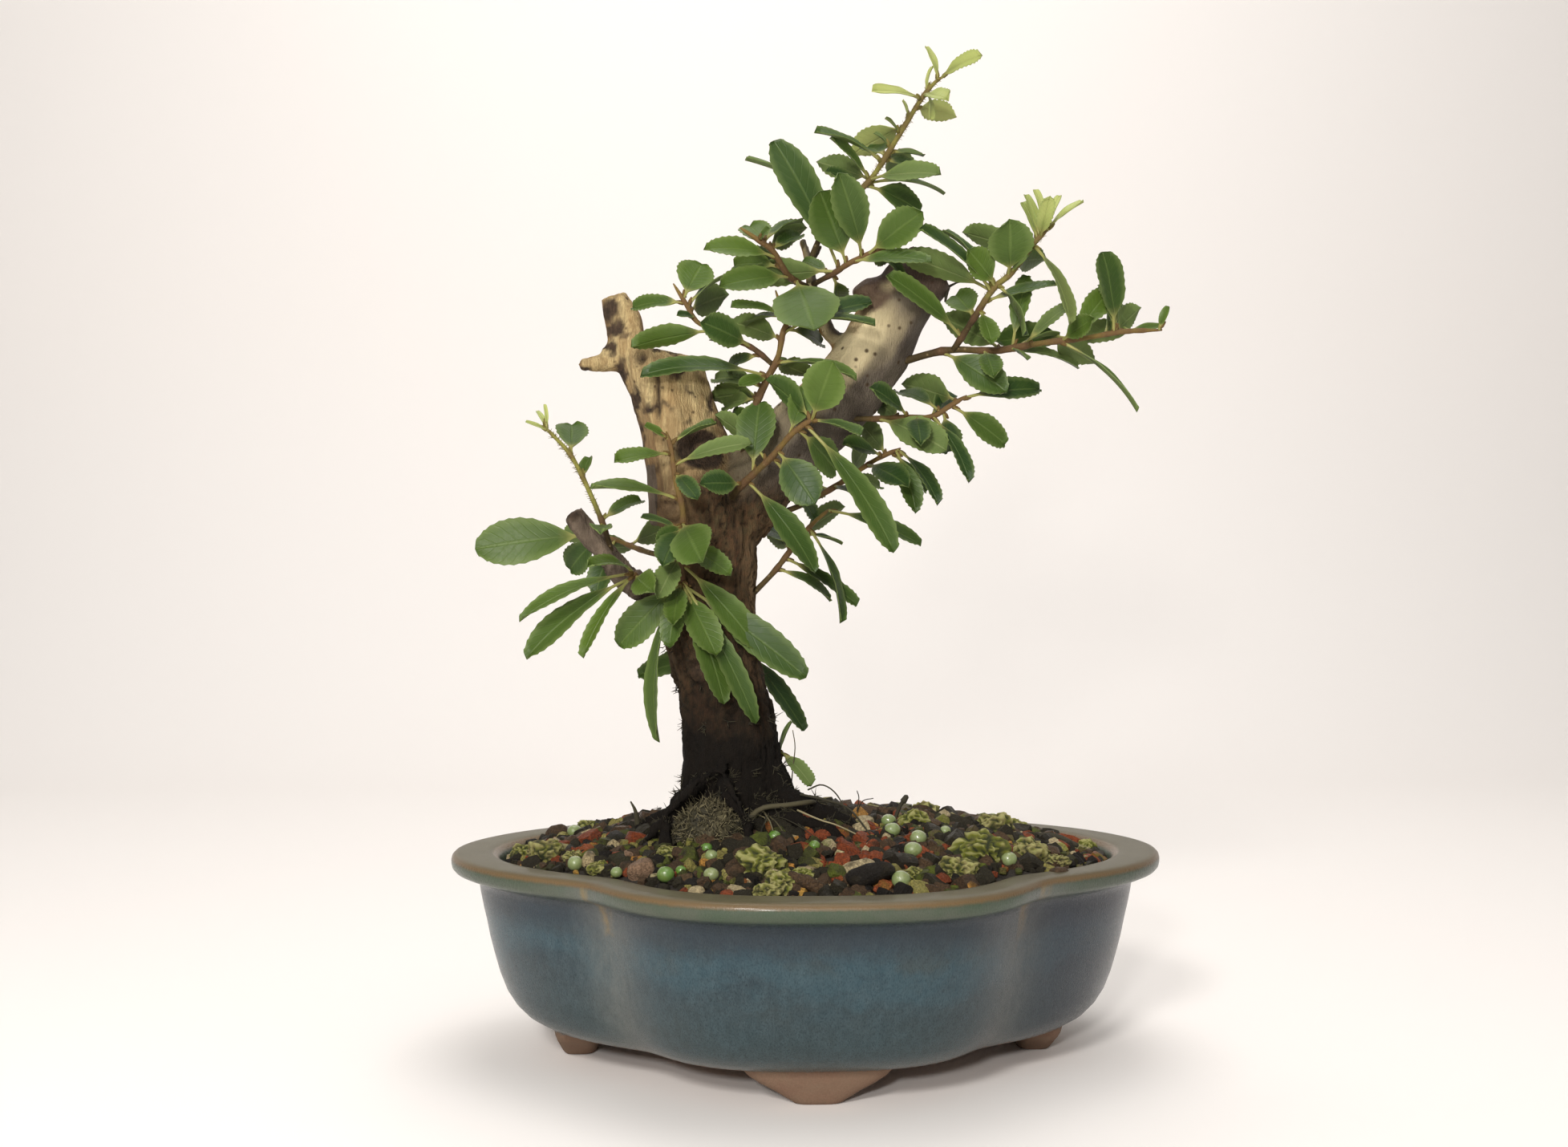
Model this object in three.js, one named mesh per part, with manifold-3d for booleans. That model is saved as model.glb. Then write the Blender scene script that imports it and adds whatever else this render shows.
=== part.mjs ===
// Firethorn bonsai in its glazed four-lobed pot, as a tree of named meshes.
// Millimetres, +Z up. The origin is on the ground under the middle of the pot,
// +X runs along the pot, and the front of the tree looks towards -Y.
import * as THREE from "three";
import Module from "manifold-3d";
import { mergeVertices } from "three/addons/utils/BufferGeometryUtils.js";

const wasm = await Module();
wasm.setup();

// Driving dimensions of the pot
const RIM_LENGTH = 156;
const RIM_DEPTH = 134;
const POT_HEIGHT = 43.6;
const RIM_WIDTH = 9.6;
const RIM_OVERHANG = 6;
const BASE_HEIGHT = 6.5;
const FLOOR_HEIGHT = 12;
const FRONT_FOOT_WIDTH = 31;
const FRONT_FOOT_SOLE = 14;
const SIDE_FOOT_WIDTH = 36;
const SIDE_FOOT_SOLE = 20;
const FOOT_DEPTH = 9;
const FRONT_FOOT_REACH = 47;
const SIDE_FOOT_REACH = 55;
const DRAIN_HOLE = 14;
const DRAIN_SPACING = 50;
const DRAIN_SIDES = 12;
const SCREEN_SIZE = 24;
const SCREEN_THICKNESS = 0.8;
const SCREEN_OPENINGS = 3;
const SCREEN_OPENING = 4.6;
const POT_SIDES = 32;

// The lobes at the pot's ends and those at its front and back: the half width of each pair as a
// share of the pot's half length, and the power of its rounding (2 is an ellipse)
const SIDE_LOBE = 0.66;
const SIDE_ROUNDING = 2;
const FRONT_LOBE = 0.65;
const FRONT_ROUNDING = 2.7;

// Driving dimensions of the soil and the tree
const SOIL_EDGE = 40;
const SOIL_CROWN = 50.5;
const MOUND_RISE = 2.5;
const MOUND_SPREAD = 24;
const MOUND_MIDDLE = [-15, -5];
const GRAIN = 5.4;
const GRAIN_RISE = 2;
const GRAIN_STRAY = 0.3;
const LUMP_RISE = 0.9;
const GAP = 0.3;
const LEAF_THICKNESS = 1.1;
const PETIOLE_WIDTH = 0.8;
const LEAF_CLEARANCE = 0.4;
const SMOOTHING = 0.04;

const HALF_LENGTH = RIM_LENGTH / 2;
const LENGTH_LESS_DEPTH = (RIM_LENGTH - RIM_DEPTH) / 2;

// Colours and finishes
const GLAZE = { color: 0x4a7480, roughness: 0.3, metalness: 0 };
const MESH_PLASTIC = { color: 0x2b2d2b, roughness: 0.7, metalness: 0 };
const SOIL = { color: 0x3f3428, roughness: 1, metalness: 0 };
const MOSS = { color: 0x6b6a4a, roughness: 1, metalness: 0 };
const BARK = { color: 0x5b4633, roughness: 0.9, metalness: 0 };
const LEAF_GREEN = { color: 0x4e7d43, roughness: 0.5, metalness: 0 };
const YOUNG_GREEN = { color: 0x8fae52, roughness: 0.5, metalness: 0 };

// A draw between 0 and 1 that comes out the same on every run
function dice(seed) {
  let state = seed;
  return () => {
    state = (state * 1664525 + 1013904223) % 4294967296;
    return state / 4294967296;
  };
}

// Solids from geometry, and meshes from solids
function solidOf(geometry) {
  const bare = geometry.index ? geometry.toNonIndexed() : geometry.clone();
  bare.deleteAttribute("normal");
  bare.deleteAttribute("uv");
  const merged = mergeVertices(bare, 1e-4);
  const corners = merged.index.array;
  const kept = [];
  for (let i = 0; i < corners.length; i += 3) {
    const [a, b, c] = corners.slice(i, i + 3);
    if (a !== b && b !== c && c !== a) kept.push(a, b, c);
  }
  return new wasm.Manifold(
    new wasm.Mesh({
      numProp: 3,
      vertProperties: merged.attributes.position.array,
      triVerts: new Uint32Array(kept),
    }),
  );
}

function meshOf(name, solid, finish) {
  const { vertProperties, triVerts } = solid.simplify(SMOOTHING).getMesh();
  const geometry = new THREE.BufferGeometry();
  geometry.setAttribute("position", new THREE.BufferAttribute(vertProperties, 3));
  geometry.setIndex(new THREE.BufferAttribute(triVerts, 1));
  geometry.computeVertexNormals();
  const mesh = new THREE.Mesh(geometry, new THREE.MeshStandardMaterial(finish));
  mesh.name = name;
  return mesh;
}

function unite(solids) {
  return wasm.Manifold.union(solids);
}

// The largest body that a cut leaves; loose scraps are dropped
function largest(solid) {
  return solid.decompose().reduce((a, b) => (a.volume() > b.volume() ? a : b));
}

// Every vertex of a geometry moved by a rule
function shaped(geometry, rule) {
  const position = geometry.attributes.position;
  const point = new THREE.Vector3();
  for (let i = 0; i < position.count; i++) {
    point.fromBufferAttribute(position, i);
    point.copy(rule(point));
    position.setXYZ(i, point.x, point.y, point.z);
  }
  return geometry;
}

function vector(list) {
  return new THREE.Vector3(...list);
}

// A tapering tube along a path. Radii are given at each point, and bark lets the section swell
// at each angle; grow makes it thicker and longer all over, for the hollow that it stands in.
function tube({ path, radii, sides = 5, bark = () => 1, grow = 0 }) {
  const points = path.map(vector);
  const last = points.length - 1;
  const heading = points.map((p, i) =>
    new THREE.Vector3()
      .subVectors(points[Math.min(i + 1, last)], points[Math.max(i - 1, 0)])
      .normalize(),
  );
  points[0].addScaledVector(heading[0], -grow);
  points[last].addScaledVector(heading[last], grow);
  let across = new THREE.Vector3(1, 0, 0);
  if (Math.abs(heading[0].x) > 0.8) across = new THREE.Vector3(0, 1, 0);
  const frames = heading.map((h) => {
    across = across.clone().addScaledVector(h, -across.dot(h)).normalize();
    return [across, new THREE.Vector3().crossVectors(h, across)];
  });
  const geometry = new THREE.CylinderGeometry(1, 1, 1, sides, last);
  return solidOf(
    shaped(geometry, ({ x, y, z }) => {
      const i = Math.round((0.5 - y) * last);
      const radius = (radii[i] + grow) * (x || z ? bark(Math.atan2(z, x), i) : 1);
      return points[i]
        .clone()
        .addScaledVector(frames[i][0], x * radius)
        .addScaledVector(frames[i][1], z * radius);
    }),
  );
}

function evenRadii(path, from, to) {
  return path.map((_, i) => from + ((to - from) * i) / (path.length - 1));
}

// The radius at an angle of a rounded bar through the middle
function bar(angle, halfX, halfY, rounding) {
  const x = Math.abs(Math.cos(angle)) / halfX;
  const y = Math.abs(Math.sin(angle)) / halfY;
  return (x ** rounding + y ** rounding) ** (-1 / rounding);
}

// The pot's outline at a given half length: two crossed bars, and a valley at each crossing
function lobed(angle, halfLength) {
  const halfDepth = halfLength - LENGTH_LESS_DEPTH;
  const sideLobes = bar(angle, halfLength, SIDE_LOBE * halfLength, SIDE_ROUNDING);
  const frontLobes = bar(angle, FRONT_LOBE * halfLength, halfDepth, FRONT_ROUNDING);
  return Math.max(sideLobes, frontLobes);
}

// A lobed solid from a profile of [half length, height] points that starts and ends on the axis
function lobedSolid(profile) {
  const points = profile.map(([halfLength, z]) => new THREE.Vector2(halfLength, z));
  const geometry = new THREE.LatheGeometry(points, POT_SIDES);
  return solidOf(
    shaped(geometry, ({ x, y, z }) => {
      const halfLength = Math.hypot(x, z);
      if (halfLength < 1) return new THREE.Vector3(0, 0, y);
      const angle = Math.round((Math.atan2(-z, x) / Math.PI / 2) * POT_SIDES);
      const turn = (angle * Math.PI * 2) / POT_SIDES;
      const radius = lobed(turn, halfLength);
      return new THREE.Vector3(radius * Math.cos(turn), radius * Math.sin(turn), y);
    }),
  );
}

// Half lengths of the body's wall, by height
const BODY_TOP = HALF_LENGTH - RIM_OVERHANG;
const BOWL = [
  [56, BASE_HEIGHT],
  [62, 9],
  [66, 14],
  [68.7, 22],
  [70.3, 29],
  [71.6, 35],
  [BODY_TOP, 38],
];
const INNER_TOP = HALF_LENGTH - RIM_WIDTH;
const INNER_WALL = [
  [INNER_TOP - 1, POT_HEIGHT - 1.2],
  [66, 34],
  [63, 18],
  [58, FLOOR_HEIGHT + 0.6],
  [53, FLOOR_HEIGHT],
];

function foot(width, soleWidth) {
  const half = width / 2;
  const sole = soleWidth / 2;
  const top = BASE_HEIGHT + 2.2;
  const outline = new THREE.Shape();
  outline.moveTo(-sole, 0);
  outline.lineTo(sole, 0);
  outline.bezierCurveTo(sole + 2.5, 0.6, half - 5, BASE_HEIGHT - 1.6, half, BASE_HEIGHT + 0.6);
  outline.lineTo(half, top);
  outline.lineTo(-half, top);
  outline.lineTo(-half, BASE_HEIGHT + 0.6);
  outline.bezierCurveTo(5 - half, BASE_HEIGHT - 1.6, -sole - 2.5, 0.6, -sole, 0);
  const extrude = { depth: FOOT_DEPTH, bevelEnabled: false, curveSegments: 4 };
  const geometry = new THREE.ExtrudeGeometry(outline, extrude);
  return geometry.rotateX(Math.PI / 2);
}

// One foot under the middle of each lobe, its outer face a little inside the bowl
function feet() {
  const crosswise = () => foot(FRONT_FOOT_WIDTH, FRONT_FOOT_SOLE);
  const lengthwise = () => foot(SIDE_FOOT_WIDTH, SIDE_FOOT_SOLE).rotateZ(Math.PI / 2);
  const front = crosswise().translate(0, FOOT_DEPTH - FRONT_FOOT_REACH, 0);
  const back = crosswise().translate(0, FRONT_FOOT_REACH, 0);
  const left = lengthwise().translate(-SIDE_FOOT_REACH, 0, 0);
  const right = lengthwise().translate(SIDE_FOOT_REACH - FOOT_DEPTH, 0, 0);
  return [front, back, left, right].map(solidOf);
}

function pot() {
  const body = lobedSolid([
    [0, BASE_HEIGHT],
    ...BOWL,
    [HALF_LENGTH - 1, POT_HEIGHT - 4],
    [HALF_LENGTH, POT_HEIGHT - 2.8],
    [HALF_LENGTH, POT_HEIGHT - 0.8],
    [HALF_LENGTH - 0.8, POT_HEIGHT],
    [INNER_TOP, POT_HEIGHT],
    ...INNER_WALL,
    [0, FLOOR_HEIGHT],
  ]);
  const holes = [-1, 1].map((side) =>
    solidOf(
      new THREE.CylinderGeometry(DRAIN_HOLE / 2, DRAIN_HOLE / 2, 2 * FLOOR_HEIGHT, DRAIN_SIDES)
        .rotateX(Math.PI / 2)
        .translate((side * DRAIN_SPACING) / 2, 0, FLOOR_HEIGHT),
    ),
  );
  return unite([body, ...feet()]).subtract(unite(holes));
}

// A plastic screen with square openings lies over each drain hole, under the soil
function screen(x) {
  const bars = SCREEN_SIZE - SCREEN_OPENINGS * SCREEN_OPENING;
  const pitch = SCREEN_OPENING + bars / (SCREEN_OPENINGS + 1);
  const plate = new THREE.BoxGeometry(SCREEN_SIZE, SCREEN_SIZE, SCREEN_THICKNESS);
  const openings = [];
  for (let i = 0; i < SCREEN_OPENINGS * SCREEN_OPENINGS; i++) {
    const across = ((i % SCREEN_OPENINGS) - (SCREEN_OPENINGS - 1) / 2) * pitch;
    const along = (Math.floor(i / SCREEN_OPENINGS) - (SCREEN_OPENINGS - 1) / 2) * pitch;
    const opening = new THREE.BoxGeometry(SCREEN_OPENING, SCREEN_OPENING, 2 * SCREEN_THICKNESS);
    openings.push(solidOf(opening.translate(across, along, 0)));
  }
  const lift = FLOOR_HEIGHT + GAP + SCREEN_THICKNESS / 2;
  return solidOf(plate).subtract(unite(openings)).translate([x, 0, lift]);
}

// The soil is heaped round the trunk and lies a little below the rim at the pot's wall
function soilHeight(x, y) {
  const out = Math.hypot(x / (INNER_TOP - 1), y / (INNER_TOP - 1 - LENGTH_LESS_DEPTH));
  const fromTrunk = Math.hypot(x - MOUND_MIDDLE[0], y - MOUND_MIDDLE[1]) / MOUND_SPREAD;
  const dome = (SOIL_CROWN - SOIL_EDGE) * Math.max(0, 1 - out * out);
  return SOIL_EDGE + dome + MOUND_RISE * Math.exp(-fromTrunk * fromTrunk);
}

// Larger stones, moss lumps and round feed pellets that stand out of the soil: x, y and radius
const LUMPS = [
  [35, -27, 5],
  [44, -16, 5],
  [46, -27, 4],
  [-9, -44, 5],
  [-6, -49, 4],
  [-52, -22, 5],
  [-60, -16, 3.5],
  [-35, -36, 4.5],
  [12, -48, 5],
  [2, -47, 4.5],
  [11, -42, 4],
  [30, -48, 3],
  [15, -51, 2.6],
  [19, -37, 2.6],
  [22, -31, 2.8],
  [27, -33, 2.5],
  [-33, -43, 2.6],
  [-20, -47, 2.6],
  [-18, -44, 4],
  [-40, 30, 3.5],
  [-12, 44, 4],
  [18, 40, 3.5],
  [38, 32, 4],
  [3, 42, 3],
  [-28, 38, 3],
  [55, 8, 4],
  [-56, 14, 4],
];

function lumpRise(x, y) {
  const rises = LUMPS.map(([lumpX, lumpY, radius]) =>
    Math.hypot(x - lumpX, y - lumpY) < radius ? LUMP_RISE * radius : -1,
  );
  return Math.max(...rises);
}

// Grains are the raised points of a three-way lattice: every third point stands up
function grainBed() {
  const draw = dice(7);
  const rowStep = GRAIN * Math.sqrt(0.75);
  const columns = Math.ceil(RIM_LENGTH / GRAIN);
  const rows = Math.ceil(RIM_DEPTH / rowStep);
  const points = [];
  const faces = [];
  const at = (i, j) => j * (columns + 1) + i;
  for (let j = 0; j <= rows; j++) {
    for (let i = 0; i <= columns; i++) {
      const stray = i > 0 && j > 0 && i < columns && j < rows ? GRAIN_STRAY * GRAIN : 0;
      const x = (i - columns / 2 + (j % 2) / 2) * GRAIN + (draw() - 0.5) * stray;
      const y = (j - rows / 2) * rowStep + (draw() - 0.5) * stray;
      const raised = (i - Math.floor(j / 2) - j + 3 * rows) % 3 === 0;
      const rise = raised ? GRAIN_RISE * (0.6 + 0.6 * draw()) : -0.5 * draw();
      points.push(x, y, soilHeight(x, y) + Math.max(rise, lumpRise(x, y)));
    }
  }
  for (let j = 0; j < rows; j++) {
    for (let i = 0; i < columns; i++) {
      const corners = [at(i, j), at(i + 1, j), at(i + 1, j + 1), at(i, j + 1)];
      const [a, b, c, d] = corners;
      if (j % 2) faces.push(a, b, c, a, c, d);
      else faces.push(a, b, d, b, c, d);
    }
  }
  const edge = [];
  for (let i = 0; i < columns; i++) edge.push(at(i, 0));
  for (let j = 0; j < rows; j++) edge.push(at(columns, j));
  for (let i = columns; i > 0; i--) edge.push(at(i, rows));
  for (let j = rows; j > 0; j--) edge.push(at(0, j));
  const first = points.length / 3;
  const base = FLOOR_HEIGHT + GAP;
  for (const e of edge) points.push(points[3 * e], points[3 * e + 1], base);
  const middle = points.length / 3;
  points.push(0, 0, base);
  edge.forEach((e, k) => {
    const next = (k + 1) % edge.length;
    faces.push(edge[next], e, first + k, edge[next], first + k, first + next);
    faces.push(first + next, first + k, middle);
  });
  const geometry = new THREE.BufferGeometry();
  geometry.setAttribute("position", new THREE.Float32BufferAttribute(points, 3));
  geometry.setIndex(faces);
  return solidOf(geometry);
}

// What the soil may fill: the pot's hollow, a gap inside its wall
function cavity() {
  const wall = INNER_WALL.map(([halfLength, z]) => [halfLength - 1.2 * GAP, z]).reverse();
  wall[0][1] = FLOOR_HEIGHT + GAP;
  wall[1][1] += GAP;
  const top = POT_HEIGHT * 2;
  const across = wall[wall.length - 1][0];
  return lobedSolid([[0, FLOOR_HEIGHT + GAP], ...wall, [across, top], [0, top]]);
}

// Wood. Each piece is a tube, and all of them are one grown body.
const RIDGES = (angle, i) => 1 + 0.07 * Math.sin(3 * angle + 0.6 * i) + 0.04 * Math.sin(5 * angle - i);

const TRUNK_PATH = [
  [-12, -5, 29],
  [-13, -5, 39],
  [-14.5, -5, 48],
  [-15.6, -5, 54],
  [-16.8, -5, 61],
  [-17.4, -5, 72],
  [-18.9, -5, 81],
  [-20.6, -5, 89],
  [-20.6, -5, 98],
  [-20.4, -5, 107],
  [-21.4, -5, 116],
  [-22.6, -5, 123],
];
const TRUNK_RADII = [7, 11, 14, 12, 10.8, 10, 9.6, 10, 9.5, 9.3, 11, 11];
const DEADWOOD_PATH = [
  [-23.5, -5, 117],
  [-26, -5, 129],
  [-28.8, -5, 139],
  [-31, -5, 146],
  [-35.5, -5, 152],
  [-40, -5.5, 158],
  [-42.3, -5.5, 165],
];
const DEADWOOD_RADII = [11, 10, 9, 9, 7.4, 4.4, 3];
const LIMB_PATH = [
  [-19, -5, 113],
  [-13, -5.5, 123],
  [-6, -6.5, 131],
  [2, -7, 138],
  [9, -7.5, 145.5],
  [14.5, -8, 153],
  [18.5, -9, 161],
  [22.5, -9.5, 166.5],
  [27, -10, 170.5],
];
const LIMB_RADII = [8, 8.8, 8.6, 8.2, 8, 7.8, 7.6, 7.2, 6.6];

// Cut branches, the old twig that carries the top, and surface roots: path, first and last radius
const WOOD = {
  leftBranch: [[[-30, -8, 97], [-39, -12, 103], [-45, -14, 110], [-50.5, -16, 117]], 3.2, 2.4],
  deadSpur: [[[-36, -5, 153], [-43, -8, 152], [-49, -9, 151]], 1.8, 1],
  oldTwig: [[[11, -7, 150], [4, -9, 157], [0.5, -10, 166], [0, -9, 172], [-1.4, -8, 177]], 2.4, 0.9],
  twigSpur: [[[0, -9.5, 169], [1, -7, 173], [3, -7, 176]], 1, 0.8],
  rightRoot: [[[-8, -9, 56], [0, -13, 53.5], [8, -16, 50.5], [15, -19, 46]], 3.4, 1.2],
  frontRoot: [[[-12, -13, 55], [-6, -20, 53], [3, -23, 51], [9, -27, 46]], 2, 1.2],
  archRoot: [[[-21, -12, 61], [-27, -18, 57], [-30, -23, 52], [-31, -27, 45]], 1.8, 1],
  innerRoot: [[[-18, -14, 61], [-18, -21, 58], [-14, -26, 53], [-12, -29, 45]], 1.5, 1],
  leftRoot: [[[-22, -6, 55], [-28, -7, 52.5], [-35, -8, 49], [-41, -9, 44]], 3, 1.2],
  backRoot: [[[-14, 0, 55], [-11, 7, 52], [-7, 15, 49.5], [-3, 22, 44]], 3.2, 1.2],
  backLeftRoot: [[[-20, 0, 55], [-26, 6, 51.5], [-32, 13, 48.5], [-37, 18, 43]], 2.8, 1.1],
};

function wood(grow) {
  const pieces = [
    tube({ path: TRUNK_PATH, radii: TRUNK_RADII, sides: 12, bark: RIDGES, grow }),
    tube({ path: DEADWOOD_PATH, radii: DEADWOOD_RADII, sides: 10, bark: RIDGES, grow }),
    tube({ path: LIMB_PATH, radii: LIMB_RADII, sides: 10, bark: RIDGES, grow }),
  ];
  for (const [path, from, to] of Object.values(WOOD)) {
    pieces.push(tube({ path, radii: evenRadii(path, from, to), grow }));
  }
  return unite(pieces);
}

// A hummock of fine roots and moss against the foot of the trunk
const MOSS_CENTRE = [-21.5, -20.5, 49.5];
const MOSS_RADII = [8.5, 6.5, 6.5];

function moss(grow) {
  return solidOf(
    shaped(new THREE.SphereGeometry(1, 12, 8), (p) => {
      const bumps = 1 + 0.07 * Math.sin(9 * p.x + 4 * p.z) * Math.sin(8 * p.y);
      return new THREE.Vector3(
        MOSS_CENTRE[0] + p.x * bumps * (MOSS_RADII[0] + grow),
        MOSS_CENTRE[1] - p.z * bumps * (MOSS_RADII[1] + grow),
        MOSS_CENTRE[2] + p.y * bumps * (MOSS_RADII[2] + grow),
      );
    }),
  );
}

// Leafy shoots. A stem is a path with its first and last diameter, and each of its leaves is
// [share of the stem, tip x, tip y, tip z, width, turn]. A leaf turned 0 faces up, and turned
// 90 it faces the front. The behind value counts leaves that grow to the back by rule.
const SHOOTS = {
  spray_upper: [
    {
      path: [
        [0.4, -9.5, 166], [-4.5, -16, 167.5], [-8, -20, 172], [-11, -21.5, 174],
        [-15, -22.5, 176.5],
      ],
      thick: [2.2, 1.4],
      behind: 2,
      leaves: [
        [0.24, 0, -30, 154, 14, 90],
        [0.56, -22, -27, 172, 5, 60],
        [0.32, -19, -27, 164, 6.5, 75],
        [0.44, -17, -8, 172, 6, 70],
        [0.7, -13, -14, 179, 7, 80],
        [0.8, -9, -25, 176, 2, 50],
        [0.66, -2, -12, 177, 4, 50],
        [0.76, -2, -13, 181, 3.5, 40],
      ],
    },
    {
      path: [
        [0, -9, 166.5], [5, -18, 168], [8, -21.5, 169.5], [13, -23.5, 171.5],
        [15.5, -24.5, 172],
      ],
      thick: [2, 1.4],
      behind: 2,
      leaves: [
        [0.6, 1, -29, 183, 10, 90],
        [0.76, 5, -35, 185, 7.5, 80],
        [0.82, 22, -33, 178, 7.5, 80],
        [0.5, -8, -18, 196, 9, 75],
        [0.66, 24, -30, 169, 4, 60],
        [0.35, -1, -10, 172, 3.5, 55],
        [0.9, 19, -15, 168, 3.5, 50],
        [0.4, 7, -6, 162, 5, 60],
      ],
    },
  ],
  shoot_fork: [
    {
      path: [
        [-18, -10, 119], [-14.5, -19.5, 123], [-8.5, -24.5, 128.5], [-5, -28, 132.5],
        [-2.5, -30, 134.5], [0, -32, 136],
      ],
      thick: [2.6, 1.5],
      behind: 1,
      leaves: [
        [0.42, -11, -18, 141, 8.5, 80],
        [0.66, 0, -32, 119, 8.5, 85],
        [0.36, 1, -25, 105, 6.5, 65],
        [0.32, -23, -26, 123, 5.5, 75],
        [0.78, -1, -24, 143, 5.5, 80],
        [0.92, 17, -32, 109, 6, 60],
        [0.97, 9, -38, 132, 4, 25],
        [0.98, 3, -41, 146, 9, 85],
        [0.86, 5, -19, 126, 7.5, 70],
        [0.6, 1, -14, 116, 3.5, 60],
        [0.97, -9, -22, 145, 6, -40],
      ],
    },
  ],
  shoot_front: [
    {
      path: [
        [-27, -9, 98], [-27.5, -16, 103], [-27.5, -18, 109], [-27, -20, 117],
        [-28.5, -21, 123.5], [-29.5, -21, 130.5], [-30.5, -21, 134],
      ],
      thick: [2.8, 1.4],
      leaves: [
        [0.16, -20, -24, 87, 7, 80],
        [0.17, -1, -18, 82, 7.5, 70],
        [0.18, -30, -21, 89, 5.5, 80],
        [0.19, -29, -26, 94, 5, 80],
        [0.2, -41, -16, 89, 7.5, 80],
        [0.21, -18, -20, 77, 6.5, 75],
        [0.22, -11, -20, 73, 5, 75],
        [0.23, -34, -19, 69, 6, 20],
        [0.34, -32, -27, 100, 5.5, 75],
        [0.52, -23, -34, 107, 9.5, 90],
        [0.51, -32, -26, 110, 4.5, 85],
        [0.5, -31, -30, 106, 6, 75],
        [0.42, -17, -25, 104, 5.5, 70],
        [0.3, -11, -18, 88, 6.5, 60],
        [0.64, -46, -27, 122, 5.5, 30],
        [0.88, -41, -28, 127, 4.5, 40],
        [0.96, -35, -23, 135, 2.5, 40],
        [0.93, -20, -18, 136, 4, 15],
        [0.82, -13, -25, 132, 5, 55],
        [0.78, -24, -28, 120, 4, 70],
        [0.48, -36, -17, 116, 2.5, 30],
      ],
    },
  ],
  spray_right: [
    {
      path: [
        [16, -8, 149], [26, -14, 151.5], [31.5, -17, 152], [39, -19.5, 151.5],
        [49, -21, 153], [57.5, -21, 154], [66, -20.5, 155.5], [74.5, -20, 156],
      ],
      thick: [2.8, 1.4],
      behind: 5,
      leaves: [
        [0.23, 41, -22, 143, 7.5, 75],
        [0.64, 69, -24, 139, 3.5, 12],
        [0.83, 61, -23, 172, 9, 60],
        [0.84, 72, -12, 162, 5, -60],
        [0.68, 64, -17, 165, 5.5, 75],
        [0.65, 58, -30, 157, 4.5, 70],
        [0.84, 62, -17, 166, 3.5, 60],
        [0.88, 75.5, -16, 157, 2, 50],
        [0.47, 45, -25, 149, 2.5, 30],
        [0.5, 53, -17, 156, 3, 15],
        [0.48, 46, -18, 168, 4.5, 70],
        [0.52, 56, -16, 162, 3.5, 50],
        [0.38, 38, -25, 146, 5, 80],
        [0.4, 59, -12, 150, 3.5, 40],
        [0.99, 75.5, -21, 161, 2, 60],
      ],
    },
    {
      path: [
        [30.5, -17, 152], [34.5, -21.5, 158.5], [38, -23.5, 164], [41.5, -24.5, 167],
        [46, -26, 173], [49, -26, 176],
      ],
      thick: [2.2, 1.4],
      behind: 3,
      leaves: [
        [0.61, 40, -33, 176, 9.5, 88],
        [0.86, 53, -34, 156, 5.5, 50],
        [0.46, 20, -32, 175, 5, 35],
        [0.1, 15, -27, 166, 6, 60],
        [0.5, 32, -29, 171, 6.5, 80],
        [0.48, 29, -19, 178, 4, 30],
        [0.52, 43, -34, 153, 5, 20],
        [0.32, 37, -28, 152, 4.5, 70],
        [0.26, 31, -16, 164, 7, 75],
        [0.38, 52, -20, 165, 3.5, 45],
        [0.93, 48, -33, 181, 3.5, 75],
        [0.9, 44, -25, 182, 2.5, 60],
        [0.92, 45, -24, 184, 2.5, 70],
        [0.96, 47, -24, 185, 2, 60],
        [0.98, 52, -23, 184, 2, 60],
        [0.99, 57, -24, 182, 2.5, 15],
        [0.64, 44, -29, 170, 2, 40],
      ],
    },
  ],
  spray_centre: [
    {
      path: [
        [-15, -7, 125], [-12.5, -15.5, 137.5], [-9.5, -16.5, 145], [-7, -18, 150],
        [-6, -18, 155], [-5, -18, 158], [-6.5, -19, 161], [-7.5, -19, 164],
      ],
      thick: [3, 1.4],
      behind: 4,
      leaves: [
        [0.63, 9, -27, 146, 4.5, 25],
        [0.56, -36, -18, 148, 5.5, 40],
        [0.88, -17, -23, 160, 3.5, 45],
        [0.84, 13, -26, 156, 4, 30],
        [0.55, -15, -22, 144, 3, 60],
        [0.5, -22, -6, 148, 5.5, 60],
        [0.44, -21, -4, 141, 5, 60],
        [0.38, -21, -7, 137, 4, 60],
        [0.33, -20, -5, 134, 3, 50],
        [0.6, -4, -9, 149, 4, 55],
        [0.86, -14, -9, 159, 3.5, 25],
        [0.8, 6, -4, 155, 5, 60],
        [0.78, 7, -3, 160, 4.5, 50],
      ],
    },
    {
      path: [
        [-8, -17.5, 148.5], [-12.5, -18.5, 152], [-19.5, -20, 155], [-24, -21, 157],
        [-26.5, -21, 161], [-29, -21, 165],
      ],
      thick: [1.8, 1.2],
      behind: 2,
      leaves: [
        [0.22, -23, -28, 156, 7, 75],
        [0.86, -23, -19, 170, 8, 80],
        [0.8, -17, -19, 168, 3, 20],
        [0.83, -38, -16, 161, 4, 55],
        [0.7, -28, -25, 158, 2, 50],
        [0.3, -21, -9, 155, 3, 55],
        [0.12, -18, -8, 149, 3.5, 60],
      ],
    },
  ],
  shoot_top: [
    {
      path: [
        [0, -9, 171], [1.5, -9, 175], [3, -9, 178], [7, -10, 183.5],
        [12.5, -11.5, 188.5], [15.5, -12.5, 192.5], [20.5, -15, 200.5], [24, -16, 206],
        [26.5, -16, 209], [28.5, -16, 210.5],
      ],
      thick: [2.2, 1.3],
      behind: 4,
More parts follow.
